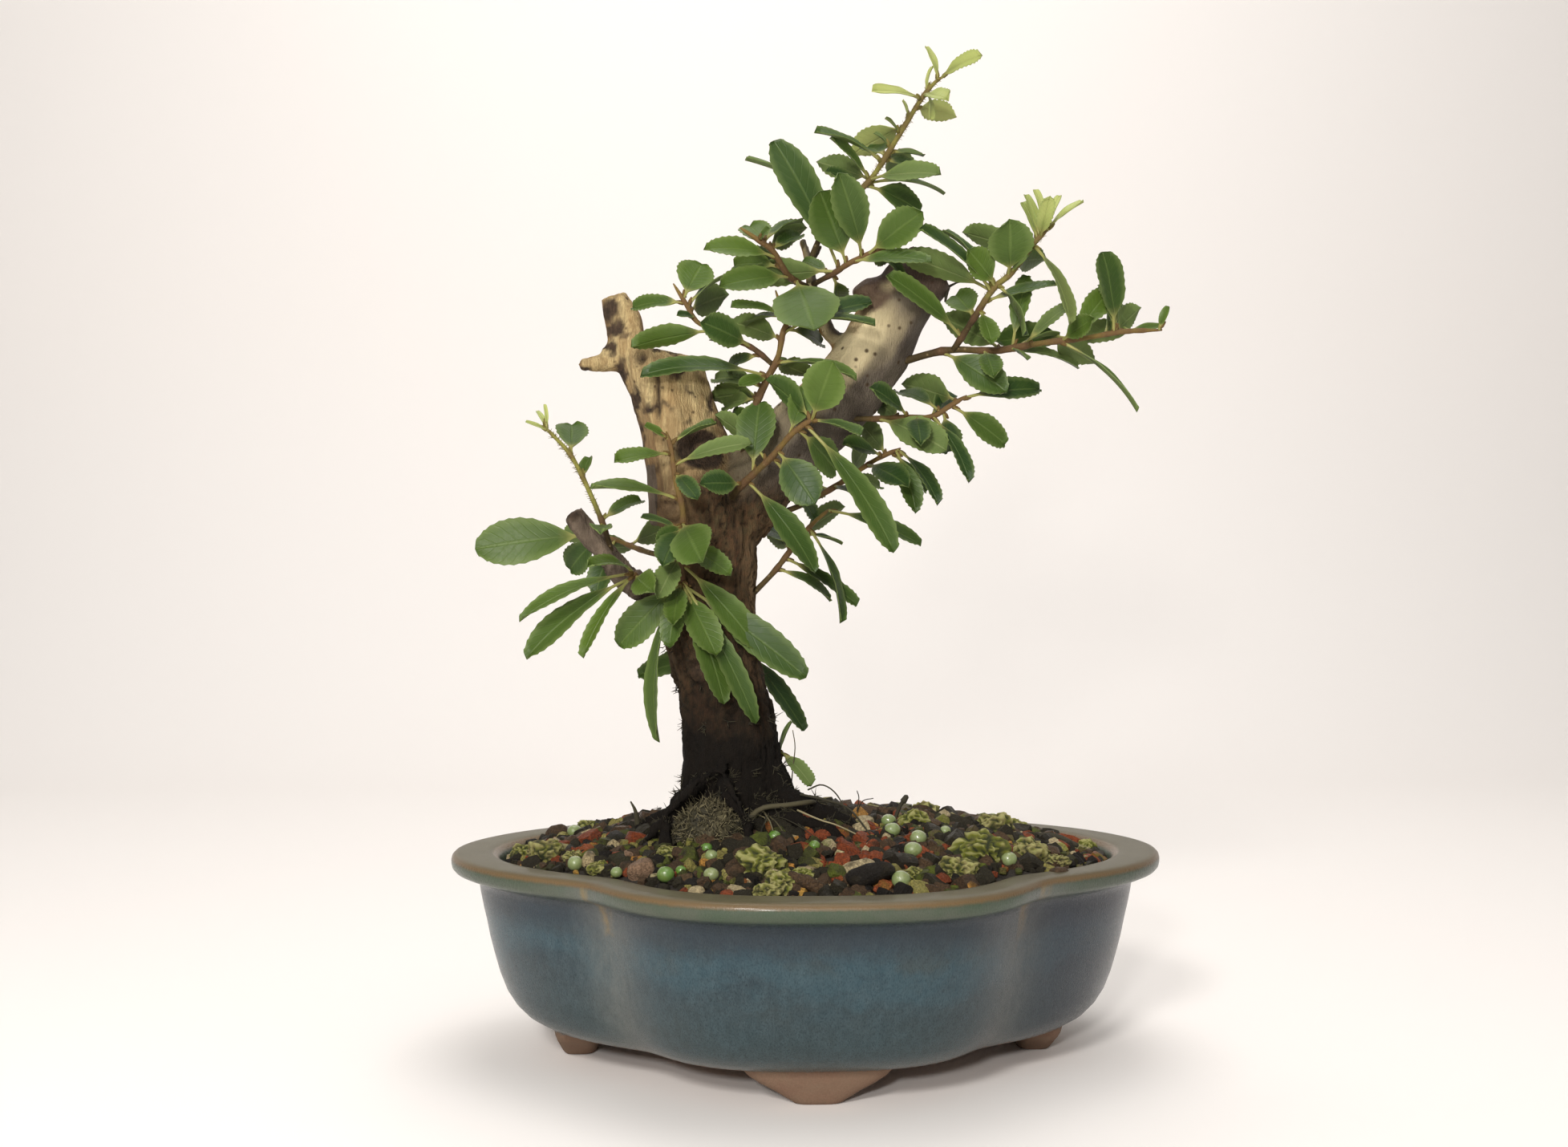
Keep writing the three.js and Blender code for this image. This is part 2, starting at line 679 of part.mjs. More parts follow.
      leaves: [
        [0.55, 1, -20, 198, 4, 25],
        [0.46, 4, -16, 197, 4, 40],
        [0.46, 27, -23, 188, 6, 60],
        [0.56, 24, -7, 193, 3.5, 45],
        [0.43, 25, -4, 184, 7, 65],
        [0.58, 13, -5, 198, 6.5, 70],
        [0.6, 25, -9, 195, 2.5, 40],
        [0.62, 14, -14, 199, 1.5, 30],
        [0.69, 16, -18, 201, 1.5, 30],
        [0.76, 20, -13, 206, 1.5, 30],
        [0.86, 12, -26, 204, 3, 50],
        [0.88, 28, -26, 203, 4.5, 75],
        [0.9, 25, -21, 200, 2.5, 40],
        [0.97, 25, -14, 217.5, 2, 50],
        [0.99, 35, -24, 213, 3.5, 60],
        [0.9, 26, -15, 213, 1.5, 30],
        [0.44, 31, -1, 190, 3, 40],
        [0.4, 4, -18, 190, 3.5, 60],
        [0.3, -14, -7, 194, 4, 25],
      ],
    },
  ],
  shoot_stub: [
    {
      path: [[-36, -11, 101], [-36.5, -16, 103], [-37.5, -20, 104.5]],
      thick: [2.2, 1.6],
      leaves: [
        [0.8, -60, -22, 87, 6.5, 40],
        [0.95, -61, -26, 96, 4.5, 40],
        [0.9, -48, -24, 87, 4, 45],
        [0.75, -32, -29, 100, 6, 80],
        [0.97, -45, -37, 107, 4.5, 15],
      ],
    },
  ],
  shoot_low_left: [
    {
      path: [
        [-42, -13, 107], [-43.5, -17, 113.5], [-47, -17, 122], [-50.5, -18, 129],
        [-54, -18, 133], [-56, -18, 135],
      ],
      thick: [2, 1.2],
      leaves: [
        [0.76, -51, -10, 137, 7, 80],
        [0.6, -47, -14, 129, 3, 60],
        [0.99, -56, -18, 140, 1.5, 60],
        [0.98, -58, -15, 139, 2, 60],
        [0.97, -60, -20, 136, 1.5, 50],
        [0.3, -36, -9, 121, 4, 60],
        [0.26, -44, -25, 113, 4.5, 75],
      ],
    },
  ],
  shoot_left_back: [
    {
      path: [[-26, -5, 108], [-33, -3, 108.5], [-38, 3, 110], [-43, 7, 112], [-47.5, 9, 113]],
      thick: [2.2, 1.4],
      behind: 3,
      leaves: [
        [0.98, -74, 5, 110, 10.5, 75],
        [0.95, -54, 13, 105, 7, 75],
        [0.8, -47, 1, 100, 6, 70],
      ],
    },
  ],
  shoot_right_inner: [
    {
      path: [
        [4, -8, 138], [14, -13.5, 137.5], [19.5, -17, 137.5], [25.5, -19, 137.5],
        [29, -19, 139.5], [33, -19, 142],
      ],
      thick: [2.2, 1.4],
      behind: 3,
      leaves: [
        [0.36, 28, -25, 130, 8, 60],
        [0.74, 33, -27, 124, 4.5, 55],
        [0.88, 42, -14, 132, 6, 75],
        [0.82, 30, -15, 130, 6, 80],
        [0.64, 22, -29, 132, 5, 75],
        [0.58, 12, -26, 143, 5, 50],
        [0.96, 50, -11, 144, 5.5, 55],
        [0.8, 18, -6, 146, 5, 60],
      ],
    },
  ],
  shoot_right_mid: [
    {
      path: [[-13, -5, 115], [-1, -3, 119.5], [7, -4, 124], [14.5, -6.5, 129], [20, -9, 131.5]],
      thick: [2.4, 1.4],
      behind: 3,
      leaves: [
        [0.78, 20, -22, 123, 6, 70],
        [0.97, 23, -15, 118, 5, 75],
        [0.98, 28, -16, 120, 4.5, 40],
        [0.94, 26, -3, 122, 3, 30],
        [0.62, 17, 3, 124, 4, 50],
        [0.55, 10, -12, 121, 3, 50],
        [0.88, 7, -15, 132, 5, 45],
      ],
    },
  ],
  shoot_right_low: [
    {
      path: [[-16, -8, 96], [-8, -5.5, 104], [-4, -4, 109], [1, -2, 115], [5, -1, 118.5]],
      thick: [2.2, 1.4],
      behind: 2,
      leaves: [
        [0.42, 6, 0, 99, 4, 30],
        [0.52, 11, -1, 97, 4, 45],
        [0.62, -9, 5, 115, 6, 60],
        [0.74, 8, 0, 111, 2.5, 15],
        [0.99, 26, 1, 111, 5.5, 50],
        [0.8, 8, -9, 94, 5.5, 30],
      ],
    },
  ],
  shoot_back: [
    {
      path: [[-20, -1, 85], [-17, 6, 86], [-15, 12, 89]],
      thick: [2.2, 1.5],
      behind: 3,
      leaves: [
        [0.95, 0, 13, 68, 5.5, 60],
        [0.55, -38, -2, 81, 5.5, 60],
        [0.7, -34, 17, 84, 4, 50],
      ],
    },
  ],
  sucker: [
    {
      path: [[-13, -4, 59], [-6.5, 0, 62.5], [-5.5, 1, 65]],
      thick: [1.8, 1.3],
      leaves: [
        [0.95, 1, -4, 58, 4, 50],
        [0.8, -3, 4, 71, 2.5, 20],
      ],
    },
  ],
};

// Shares of a leaf's length, and how wide it is there as a share of its full width. The stalk
// comes first, and the edge beyond it swings in and out as the scalloped margin does.
const BROAD_LEAF = [[0, 0], [0.18, 0], [0.4, 0.86], [0.6, 1], [0.82, 0.84], [1, 0.4]];
const NARROW_LEAF = [[0, 0], [0.2, 0], [0.55, 1], [0.85, 0.8], [1, 0.4]];
const SMALL_LEAF = [[0, 0], [0.25, 0], [0.65, 1], [1, 0.4]];
const NARROW = 6;
const SMALL = 3.6;
const ARCH = 0.07;

// Ways to swing a leaf aside that would cross another piece, as shares of its length: first
// back or forth along Y, which barely shows from the front, then up or down
const SWINGS = [
  [0, 0],
  [-0.15, 0],
  [0.15, 0],
  [-0.3, 0],
  [0.3, 0],
  [0, 0.15],
  [0, -0.15],
  [-0.45, 0],
  [0.45, 0],
  [-0.2, 0.2],
  [0.2, 0.2],
  [-0.2, -0.2],
  [0.2, -0.2],
  [-0.7, 0],
  [0.7, 0],
  [0, 0.35],
  [0, -0.35],
  [-0.5, 0.4],
  [0.5, 0.4],
  [-0.5, -0.4],
  [0.5, -0.4],
];

// The point at a share of a path's length
function along(path, share) {
  const points = path.map(vector);
  const steps = points.slice(1).map((p, i) => p.distanceTo(points[i]));
  let left = share * steps.reduce((a, b) => a + b);
  let i = 0;
  while (left > steps[i] && i < steps.length - 1) left -= steps[i++];
  return points[i].clone().lerp(points[i + 1], Math.min(1, left / steps[i]));
}

function leaf(base, tip, width, turn) {
  const outline = width < SMALL ? SMALL_LEAF : width < NARROW ? NARROW_LEAF : BROAD_LEAF;
  const length = base.distanceTo(tip);
  const axis = new THREE.Vector3().subVectors(tip, base).normalize();
  const front = new THREE.Vector3(0, -1, 0);
  front.addScaledVector(axis, -front.dot(axis)).normalize();
  const up = new THREE.Vector3().crossVectors(axis, front);
  if (up.z < 0) up.negate();
  const angle = (turn * Math.PI) / 180;
  const face = front.multiplyScalar(Math.sin(angle)).addScaledVector(up, Math.cos(angle));
  const side = new THREE.Vector3().crossVectors(axis, face);
  const last = outline.length - 1;
  const blade = new THREE.CylinderGeometry(1, 1, 1, 3, last);
  return solidOf(
    shaped(blade, ({ x, y, z }) => {
      const [share, breadth] = outline[Math.round((0.5 - y) * last)];
      const across = Math.max(PETIOLE_WIDTH, breadth * width);
      const rise = ARCH * length * 4 * share * (1 - share);
      const depth = (z + 0.5) / 1.5;
      return base
        .clone()
        .addScaledVector(axis, share * length)
        .addScaledVector(side, (x * across) / Math.sqrt(3))
        .addScaledVector(face, rise + LEAF_THICKNESS * (0.5 - depth));
    }),
  );
}

// A tip swung aside, at the same distance from the base
function swung(base, tip, [depth, lift]) {
  const length = base.distanceTo(tip);
  const moved = tip.clone().add(new THREE.Vector3(0, depth * length, lift * length));
  return moved.sub(base).setLength(length).add(base);
}

// Leaves behind a stem, which the front view hides: they stand out to the back on alternate
// sides, as the leaves in front do
function leavesBehind({ path, behind = 0 }, seed) {
  const draw = dice(seed);
  const rows = [];
  for (let k = 0; k < behind; k++) {
    const share = 0.4 + (0.55 * (k + draw())) / behind;
    const aside = (k % 2 ? 1 : -1) * (0.3 + 0.7 * draw());
    const lift = -0.2 + 0.9 * draw();
    const length = 15 + 6 * draw();
    const reach = new THREE.Vector3(aside, 1, lift).setLength(length);
    const tip = along(path, share).add(reach);
    rows.push([share, tip.x, tip.y, tip.z, 0.33 * length, -50]);
  }
  return rows;
}

function near(box, other) {
  return ["0", "1", "2"].every(
    (k) =>
      box.min[k] - LEAF_CLEARANCE < other.max[k] && other.min[k] - LEAF_CLEARANCE < box.max[k],
  );
}

// All the shoots together, because each leaf keeps clear of the other shoots
function growShoots(standing) {
  const names = Object.keys(SHOOTS);
  const solids = {};
  for (const name of names) {
    solids[name] = SHOOTS[name].map(({ path, thick: [from, to] }) =>
      tube({ path, radii: evenRadii(path, from / 2, to / 2) }),
    );
  }
  const boxes = new Map();
  const boxOf = (solid) => {
    if (!boxes.has(solid)) boxes.set(solid, solid.boundingBox());
    return boxes.get(solid);
  };
  const place = (name, { path }, row, label) => {
    const [share, x, y, z, width, turn] = row;
    const base = along(path, share);
    const others = names.filter((n) => n !== name).flatMap((n) => solids[n]);
    const around = [...standing, ...others];
    for (const swing of SWINGS) {
      const blade = leaf(base, swung(base, new THREE.Vector3(x, y, z), swing), width, turn);
      const box = boxOf(blade);
      const clear = around.every(
        (other) => !near(box, boxOf(other)) || blade.minGap(other, LEAF_CLEARANCE) >= LEAF_CLEARANCE,
      );
      if (clear) {
        solids[name].push(blade);
        return;
      }
    }
    throw new Error(`${name}: leaf ${label} finds no clear place`);
  };
  for (const name of names) {
    for (const stem of SHOOTS[name]) stem.leaves.forEach((row, i) => place(name, stem, row, i));
  }
  names.forEach((name, n) => {
    SHOOTS[name].forEach((stem, s) => {
      leavesBehind(stem, 100 * n + s + 1).forEach((row, i) => place(name, stem, row, `behind ${i}`));
    });
  });
  return solids;
}

// The whole plant in its pot
function build() {
  const group = new THREE.Group();
  const potSolid = pot();
  const woodSolid = largest(wood(0));
  const woodRoom = wood(GAP);
  const mossSolid = largest(moss(0).subtract(woodRoom));
  const screens = [-1, 1].map((side) => screen((side * DRAIN_SPACING) / 2));
  const screenRoom = [-1, 1].map((side) => {
    const room = SCREEN_SIZE + 2 * GAP;
    const height = 2 * (SCREEN_THICKNESS + 2 * GAP);
    const block = new THREE.BoxGeometry(room, room, height);
    return solidOf(block.translate((side * DRAIN_SPACING) / 2, 0, FLOOR_HEIGHT));
  });
  const soilSolid = largest(
    grainBed()
      .intersect(cavity())
      .subtract(unite([woodRoom, moss(GAP), ...screenRoom])),
  );
  group.add(meshOf("pot", potSolid, GLAZE));
  group.add(meshOf("drain_screen_left", screens[0], MESH_PLASTIC));
  group.add(meshOf("drain_screen_right", screens[1], MESH_PLASTIC));
  group.add(meshOf("soil", soilSolid, SOIL));
  group.add(meshOf("moss_clump", mossSolid, MOSS));
  group.add(meshOf("trunk", woodSolid, BARK));
  const shoots = growShoots([woodSolid, soilSolid, potSolid, mossSolid]);
  for (const [name, solids] of Object.entries(shoots)) {
    const solid = largest(unite(solids).subtract(woodRoom));
    group.add(meshOf(name, solid, name === "shoot_top" ? YOUNG_GREEN : LEAF_GREEN));
  }
  return group;
}

export default build();
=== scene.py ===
import math
import random

import bpy
import numpy as np
from bpy.props import (
    FloatProperty,
    FloatVectorProperty,
    IntProperty,
    PointerProperty,
)
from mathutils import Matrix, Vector, noise
from mathutils.kdtree import KDTree


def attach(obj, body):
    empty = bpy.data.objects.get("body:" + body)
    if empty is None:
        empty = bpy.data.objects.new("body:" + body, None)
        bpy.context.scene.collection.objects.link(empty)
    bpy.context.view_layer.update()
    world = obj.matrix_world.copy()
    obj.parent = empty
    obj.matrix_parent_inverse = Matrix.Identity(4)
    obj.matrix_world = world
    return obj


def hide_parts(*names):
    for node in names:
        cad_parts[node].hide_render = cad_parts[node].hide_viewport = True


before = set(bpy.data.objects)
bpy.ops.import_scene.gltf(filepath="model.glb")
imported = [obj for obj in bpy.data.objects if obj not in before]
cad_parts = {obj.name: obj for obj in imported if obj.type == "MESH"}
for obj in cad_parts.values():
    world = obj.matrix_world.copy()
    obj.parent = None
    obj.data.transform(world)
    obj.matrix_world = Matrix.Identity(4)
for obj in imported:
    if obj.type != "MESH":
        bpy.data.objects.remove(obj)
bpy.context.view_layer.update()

bl_info = {
    "name": "Firethorn Bonsai",
    "version": (1, 0, 0),
    "blender": (4, 5, 0),
    "location": "View3D > Sidebar > Bonsai",
    "description": "Dresses the packed bonsai with glaze, soil, moss, bark and leaves",
    "category": "Object",
}

# Everything is written in millimetres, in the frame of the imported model: the middle of the pot
# at the origin, x to the right, y to the back and z up. Meshes get metres when they are made.
MM = 0.001

# The pot: half its length and the height, from the underside up and over the rim to the floor
POT_PROFILE = [
    (56, 6.5), (59, 7.3), (62, 9), (64.2, 11.2), (66, 14), (67.5, 17.8), (68.7, 22),
    (69.6, 25.5), (70.3, 29), (71, 32), (71.6, 35), (71.9, 36.8), (72.6, 38.1), (74.2, 38.9),
    (76, 39.4), (77.2, 39.9), (77.8, 40.6), (78, 41.5), (78, 42.2), (77.8, 42.9), (77.3, 43.4),
    (76.4, 43.6), (74, 43.55), (71, 43.6), (69.4, 43.5), (68.6, 43.2), (68, 42.7), (67.5, 42.2),
    (67.1, 40), (66.6, 37), (66, 34), (64.8, 27), (63, 18), (61.5, 15), (58, 12.6), (53, 12),
]
# The inside of the wall: height and half the length
INNER_WALL = [(12, 53), (12.6, 58), (15, 61.5), (18, 63), (27, 64.8), (34, 66), (38, 66.7)]
POT_AROUND = 320
LENGTH_LESS_DEPTH = 11
LOBE_SHARPNESS = 36
# Keeps the pot's finer outline within the solid
INSIDE = 0.9999

# Feet: half the width at the top and at the sole, and the reach of the outer face
FRONT_FOOT = (15.3, 4.2, 47)
SIDE_FOOT = (18, 7, 55)
FOOT_DEPTH = 10.5
FOOT_TOP = 8.7
# The curve of a foot's sides: height, share of the way from sole to top width, share of the depth
FOOT_CURVE = [
    (0.25, 0.07, 0.68), (0.8, 0.14, 0.74), (1.6, 0.26, 0.79), (2.8, 0.44, 0.85),
    (4.2, 0.68, 0.92), (5.6, 0.87, 0.97),
]
DRAIN_SPOTS = (-25, 25)
DRAIN_RADIUS = 7

# The soil: its height at the wall, its rise to the middle, and a mound at the trunk, as its x, y,
# height and spread
SOIL_EDGE = 40.8
SOIL_CROWN = 9.7
MOUND = (-15, -5, 2.5, 24)
SOIL_REACH = (67.4, 56.4)
# Fine earth under the grains, down to the pot's floor: half its length and its height
BED_BELOW = [(0, 12.4), (30, 12.4), (52, 12.4), (57.4, 13), (62.4, 18.4), (65.4, 34), (66.5, 39)]
# Rows of the bed within this half length are scaled copies of its outline
FLOOR_HALF = 52
# The bed's uneven top: half its length and how many rings it has
BED_HALF = 66.3
BED_RINGS = 48
# Grains are spread over a square, and kept inside the wall and clear of the trunk
GRAIN_REACH = 68
GRAIN_HALF = 66.6
TRUNK_CLEAR = 11

# Middle lines of the trunk's parts, as the solid has them
TRUNK_PATH = [
    (-12, -5, 29), (-13, -5, 39), (-14.5, -5, 48), (-15.6, -5, 54), (-16.8, -5, 61),
    (-17.4, -5, 72), (-18.9, -5, 81), (-20.6, -5, 89), (-20.6, -5, 98), (-20.4, -5, 107),
    (-21.4, -5, 116), (-22.6, -5, 123),
]
DEADWOOD_PATH = [
    (-23.5, -5, 117), (-26, -5, 129), (-28.8, -5, 139), (-31, -5, 146), (-35.5, -5, 152),
    (-40, -5.5, 158), (-42.3, -5.5, 165),
]
LIMB_PATH = [
    (-19, -5, 113), (-13, -5.5, 123), (-6, -6.5, 131), (2, -7, 138), (9, -7.5, 145.5),
    (14.5, -8, 153), (18.5, -9, 161), (22.5, -9.5, 166.5), (27, -10, 170.5),
]
# The hummock of fine roots
MOSS_CENTRE = (-21.5, -20.5, 49.5)
MOSS_RADII = (8.5, 6.5, 6.5)

# Leafy shoots. A stem is a path with its first and last diameter. Each leaf is its share of the
# stem, the place of its tip, its width and its turn: 0 faces up and 90 faces the front.
# The behind value counts leaves that grow to the back by rule.
SHOOTS = {
    "spray_upper": [
        {"path": [(0.4, -9.5, 166), (-4.5, -16, 167.5), (-8, -20, 172), (-11, -21.5, 174),
                  (-15, -22.5, 176.5)],
         "thick": (2.2, 1.4), "behind": 2,
         "leaves": [(0.24, 0, -30, 154, 14, 90), (0.56, -22, -27, 172, 5, 60),
            (0.32, -19, -27, 164, 6.5, 75), (0.44, -17, -8, 172, 6, 70),
            (0.7, -13, -14, 179, 7, 80), (0.8, -9, -25, 176, 2, 50), (0.66, -2, -12, 177, 4, 50),
            (0.76, -2, -13, 181, 3.5, 40)]},
        {"path": [(0, -9, 166.5), (5, -18, 168), (8, -21.5, 169.5), (13, -23.5, 171.5),
                  (15.5, -24.5, 172)],
         "thick": (2, 1.4), "behind": 2,
         "leaves": [(0.6, 1, -29, 183, 10, 90), (0.76, 5, -35, 185, 7.5, 80),
            (0.82, 22, -33, 178, 7.5, 80), (0.5, -8, -18, 196, 9, 75),
            (0.66, 24, -30, 169, 4, 60), (0.35, -1, -10, 172, 3.5, 55),
            (0.9, 19, -15, 168, 3.5, 50), (0.4, 7, -6, 162, 5, 60)]},
    ],
    "shoot_fork": [
        {"path": [(-18, -10, 119), (-14.5, -19.5, 123), (-8.5, -24.5, 128.5), (-5, -28, 132.5),
                  (-2.5, -30, 134.5), (0, -32, 136)],
         "thick": (2.6, 1.5), "behind": 1,
         "leaves": [(0.42, -11, -18, 141, 8.5, 80), (0.66, 0, -32, 119, 8.5, 85),
            (0.36, 1, -25, 105, 6.5, 65), (0.32, -23, -26, 123, 5.5, 75),
            (0.78, -1, -24, 143, 5.5, 80), (0.92, 17, -32, 109, 6, 60),
            (0.97, 9, -38, 132, 4, 25), (0.98, 3, -41, 146, 9, 85), (0.86, 5, -19, 126, 7.5, 70),
            (0.6, 1, -14, 116, 3.5, 60), (0.97, -9, -22, 145, 6, -40)]},
    ],
    "shoot_front": [
        {"path": [(-27, -9, 98), (-27.5, -16, 103), (-27.5, -18, 109), (-27, -20, 117),
                  (-28.5, -21, 123.5), (-29.5, -21, 130.5), (-30.5, -21, 134)],
         "thick": (2.8, 1.4),
         "leaves": [(0.16, -20, -24, 87, 7, 80), (0.17, -1, -18, 82, 7.5, 70),
            (0.18, -30, -21, 89, 5.5, 80), (0.19, -29, -26, 94, 5, 80),
            (0.2, -41, -16, 89, 7.5, 80), (0.21, -18, -20, 77, 6.5, 75),
            (0.22, -11, -20, 73, 5, 75), (0.23, -34, -19, 69, 6, 20),
            (0.34, -32, -27, 100, 5.5, 75), (0.52, -23, -34, 107, 9.5, 90),
            (0.51, -32, -26, 110, 4.5, 85), (0.5, -31, -30, 106, 6, 75),
            (0.42, -17, -25, 104, 5.5, 70), (0.3, -11, -18, 88, 6.5, 60),
            (0.64, -46, -27, 122, 5.5, 30), (0.88, -41, -28, 127, 4.5, 40),
            (0.96, -35, -23, 135, 2.5, 40), (0.93, -20, -18, 136, 4, 15),
            (0.82, -13, -25, 132, 5, 55), (0.78, -24, -28, 120, 4, 70),
            (0.48, -36, -17, 116, 2.5, 30)]},
    ],
    "spray_right": [
        {"path": [(16, -8, 149), (26, -14, 151.5), (31.5, -17, 152), (39, -19.5, 151.5),
                  (49, -21, 153), (57.5, -21, 154), (66, -20.5, 155.5), (74.5, -20, 156)],
         "thick": (2.8, 1.4), "behind": 5,
         "leaves": [(0.23, 41, -22, 143, 7.5, 75), (0.64, 69, -24, 139, 3.5, 12),
            (0.83, 61, -23, 172, 9, 60), (0.84, 72, -12, 162, 5, -60),
            (0.68, 64, -17, 165, 5.5, 75), (0.65, 58, -30, 157, 4.5, 70),
            (0.84, 62, -17, 166, 3.5, 60), (0.88, 75.5, -16, 157, 2, 50),
            (0.47, 45, -25, 149, 2.5, 30), (0.5, 53, -17, 156, 3, 15),
            (0.48, 46, -18, 168, 4.5, 70), (0.52, 56, -16, 162, 3.5, 50),
            (0.38, 38, -25, 146, 5, 80), (0.4, 59, -12, 150, 3.5, 40),
            (0.99, 75.5, -21, 161, 2, 60)]},
        {"path": [(30.5, -17, 152), (34.5, -21.5, 158.5), (38, -23.5, 164), (41.5, -24.5, 167),
                  (46, -26, 173), (49, -26, 176)],
         "thick": (2.2, 1.4), "fresh": 0.92, "behind": 3,
         "leaves": [(0.61, 40, -33, 176, 9.5, 88), (0.86, 53, -34, 156, 5.5, 50),
            (0.46, 20, -32, 175, 5, 35), (0.1, 15, -27, 166, 6, 60), (0.5, 32, -29, 171, 6.5, 80),
            (0.48, 29, -19, 178, 4, 30), (0.52, 43, -34, 153, 5, 20),
            (0.32, 37, -28, 152, 4.5, 70), (0.26, 31, -16, 164, 7, 75),
            (0.38, 52, -20, 165, 3.5, 45), (0.93, 48, -33, 181, 3.5, 75),
            (0.9, 44, -25, 182, 2.5, 60), (0.92, 45, -24, 184, 2.5, 70),
            (0.96, 47, -24, 185, 2, 60), (0.98, 52, -23, 184, 2, 60),
            (0.99, 57, -24, 182, 2.5, 15), (0.64, 44, -29, 170, 2, 40)]},
    ],
    "spray_centre": [
        {"path": [(-15, -7, 125), (-12.5, -15.5, 137.5), (-9.5, -16.5, 145), (-7, -18, 150),
                  (-6, -18, 155), (-5, -18, 158), (-6.5, -19, 161), (-7.5, -19, 164)],
         "thick": (3, 1.4), "behind": 4,
         "leaves": [(0.63, 9, -27, 146, 4.5, 25), (0.56, -36, -18, 148, 5.5, 40),
            (0.88, -17, -23, 160, 3.5, 45), (0.84, 13, -26, 156, 4, 30),
            (0.55, -15, -22, 144, 3, 60), (0.5, -22, -6, 148, 5.5, 60),
            (0.44, -21, -4, 141, 5, 60), (0.38, -21, -7, 137, 4, 60), (0.33, -20, -5, 134, 3, 50),
            (0.6, -4, -9, 149, 4, 55), (0.86, -14, -9, 159, 3.5, 25), (0.8, 6, -4, 155, 5, 60),
            (0.78, 7, -3, 160, 4.5, 50)]},
        {"path": [(-8, -17.5, 148.5), (-12.5, -18.5, 152), (-19.5, -20, 155), (-24, -21, 157),
                  (-26.5, -21, 161), (-29, -21, 165)],
         "thick": (1.8, 1.2), "behind": 2,
         "leaves": [(0.22, -23, -28, 156, 7, 75), (0.86, -23, -19, 170, 8, 80),
            (0.8, -17, -19, 168, 3, 20), (0.83, -38, -16, 161, 4, 55),
            (0.7, -28, -25, 158, 2, 50), (0.3, -21, -9, 155, 3, 55),
            (0.12, -18, -8, 149, 3.5, 60)]},
    ],
    "shoot_top": [
        {"path": [(0, -9, 171), (1.5, -9, 175), (3, -9, 178), (7, -10, 183.5),
                  (12.5, -11.5, 188.5), (15.5, -12.5, 192.5), (20.5, -15, 200.5), (24, -16, 206),
                  (26.5, -16, 209), (28.5, -16, 210.5)],
         "thick": (2.2, 1.3), "fresh": 0.74, "behind": 4,
         "leaves": [(0.55, 1, -20, 198, 4, 25), (0.46, 4, -16, 197, 4, 40),
            (0.46, 27, -23, 188, 6, 60), (0.56, 24, -7, 193, 3.5, 45), (0.43, 25, -4, 184, 7, 65),
            (0.58, 13, -5, 198, 6.5, 70), (0.6, 25, -9, 195, 2.5, 40),
            (0.62, 14, -14, 199, 1.5, 30), (0.69, 16, -18, 201, 1.5, 30),
            (0.76, 20, -13, 206, 1.5, 30), (0.86, 12, -26, 204, 3, 50),
            (0.88, 28, -26, 203, 4.5, 75), (0.9, 25, -21, 200, 2.5, 40),
            (0.97, 25, -14, 217.5, 2, 50), (0.99, 35, -24, 213, 3.5, 60),
            (0.9, 26, -15, 213, 1.5, 30), (0.44, 31, -1, 190, 3, 40), (0.4, 4, -18, 190, 3.5, 60),
            (0.3, -14, -7, 194, 4, 25)]},
    ],
    "shoot_stub": [
        {"path": [(-36, -11, 101), (-36.5, -16, 103), (-37.5, -20, 104.5)],
         "thick": (2.2, 1.6),
         "leaves": [(0.8, -60, -22, 87, 6.5, 40), (0.95, -61, -26, 96, 4.5, 40),
            (0.9, -48, -24, 87, 4, 45), (0.75, -32, -29, 100, 6, 80),
            (0.97, -45, -37, 107, 4.5, 15)]},
    ],
    "shoot_low_left": [
        {"path": [(-42, -13, 107), (-43.5, -17, 113.5), (-47, -17, 122), (-50.5, -18, 129),
                  (-54, -18, 133), (-56, -18, 135)],
         "thick": (2, 1.2), "fresh": 0.93,
         "leaves": [(0.76, -51, -10, 137, 7, 80), (0.6, -47, -14, 129, 3, 60),
            (0.99, -56, -18, 140, 1.5, 60), (0.98, -58, -15, 139, 2, 60),
            (0.97, -60, -20, 136, 1.5, 50), (0.3, -36, -9, 121, 4, 60),
            (0.26, -44, -25, 113, 4.5, 75)]},
    ],
    "shoot_left_back": [
        {"path": [(-26, -5, 108), (-33, -3, 108.5), (-38, 3, 110), (-43, 7, 112), (-47.5, 9, 113)],
         "thick": (2.2, 1.4), "behind": 3,
         "leaves": [(0.98, -74, 5, 110, 10.5, 75), (0.95, -54, 13, 105, 7, 75),
            (0.8, -47, 1, 100, 6, 70)]},
    ],
    "shoot_right_inner": [
        {"path": [(4, -8, 138), (14, -13.5, 137.5), (19.5, -17, 137.5), (25.5, -19, 137.5),
                  (29, -19, 139.5), (33, -19, 142)],
         "thick": (2.2, 1.4), "behind": 3,
         "leaves": [(0.36, 28, -25, 130, 8, 60), (0.74, 33, -27, 124, 4.5, 55),
            (0.88, 42, -14, 132, 6, 75), (0.82, 30, -15, 130, 6, 80), (0.64, 22, -29, 132, 5, 75),
            (0.58, 12, -26, 143, 5, 50), (0.96, 50, -11, 144, 5.5, 55), (0.8, 18, -6, 146, 5, 60)]},
    ],
    "shoot_right_mid": [
        {"path": [(-13, -5, 115), (-1, -3, 119.5), (7, -4, 124), (14.5, -6.5, 129),
                  (20, -9, 131.5)],
         "thick": (2.4, 1.4), "behind": 3,
         "leaves": [(0.78, 20, -22, 123, 6, 70), (0.97, 23, -15, 118, 5, 75),
            (0.98, 28, -16, 120, 4.5, 40), (0.94, 26, -3, 122, 3, 30), (0.62, 17, 3, 124, 4, 50),
            (0.55, 10, -12, 121, 3, 50), (0.88, 7, -15, 132, 5, 45)]},
    ],
    "shoot_right_low": [
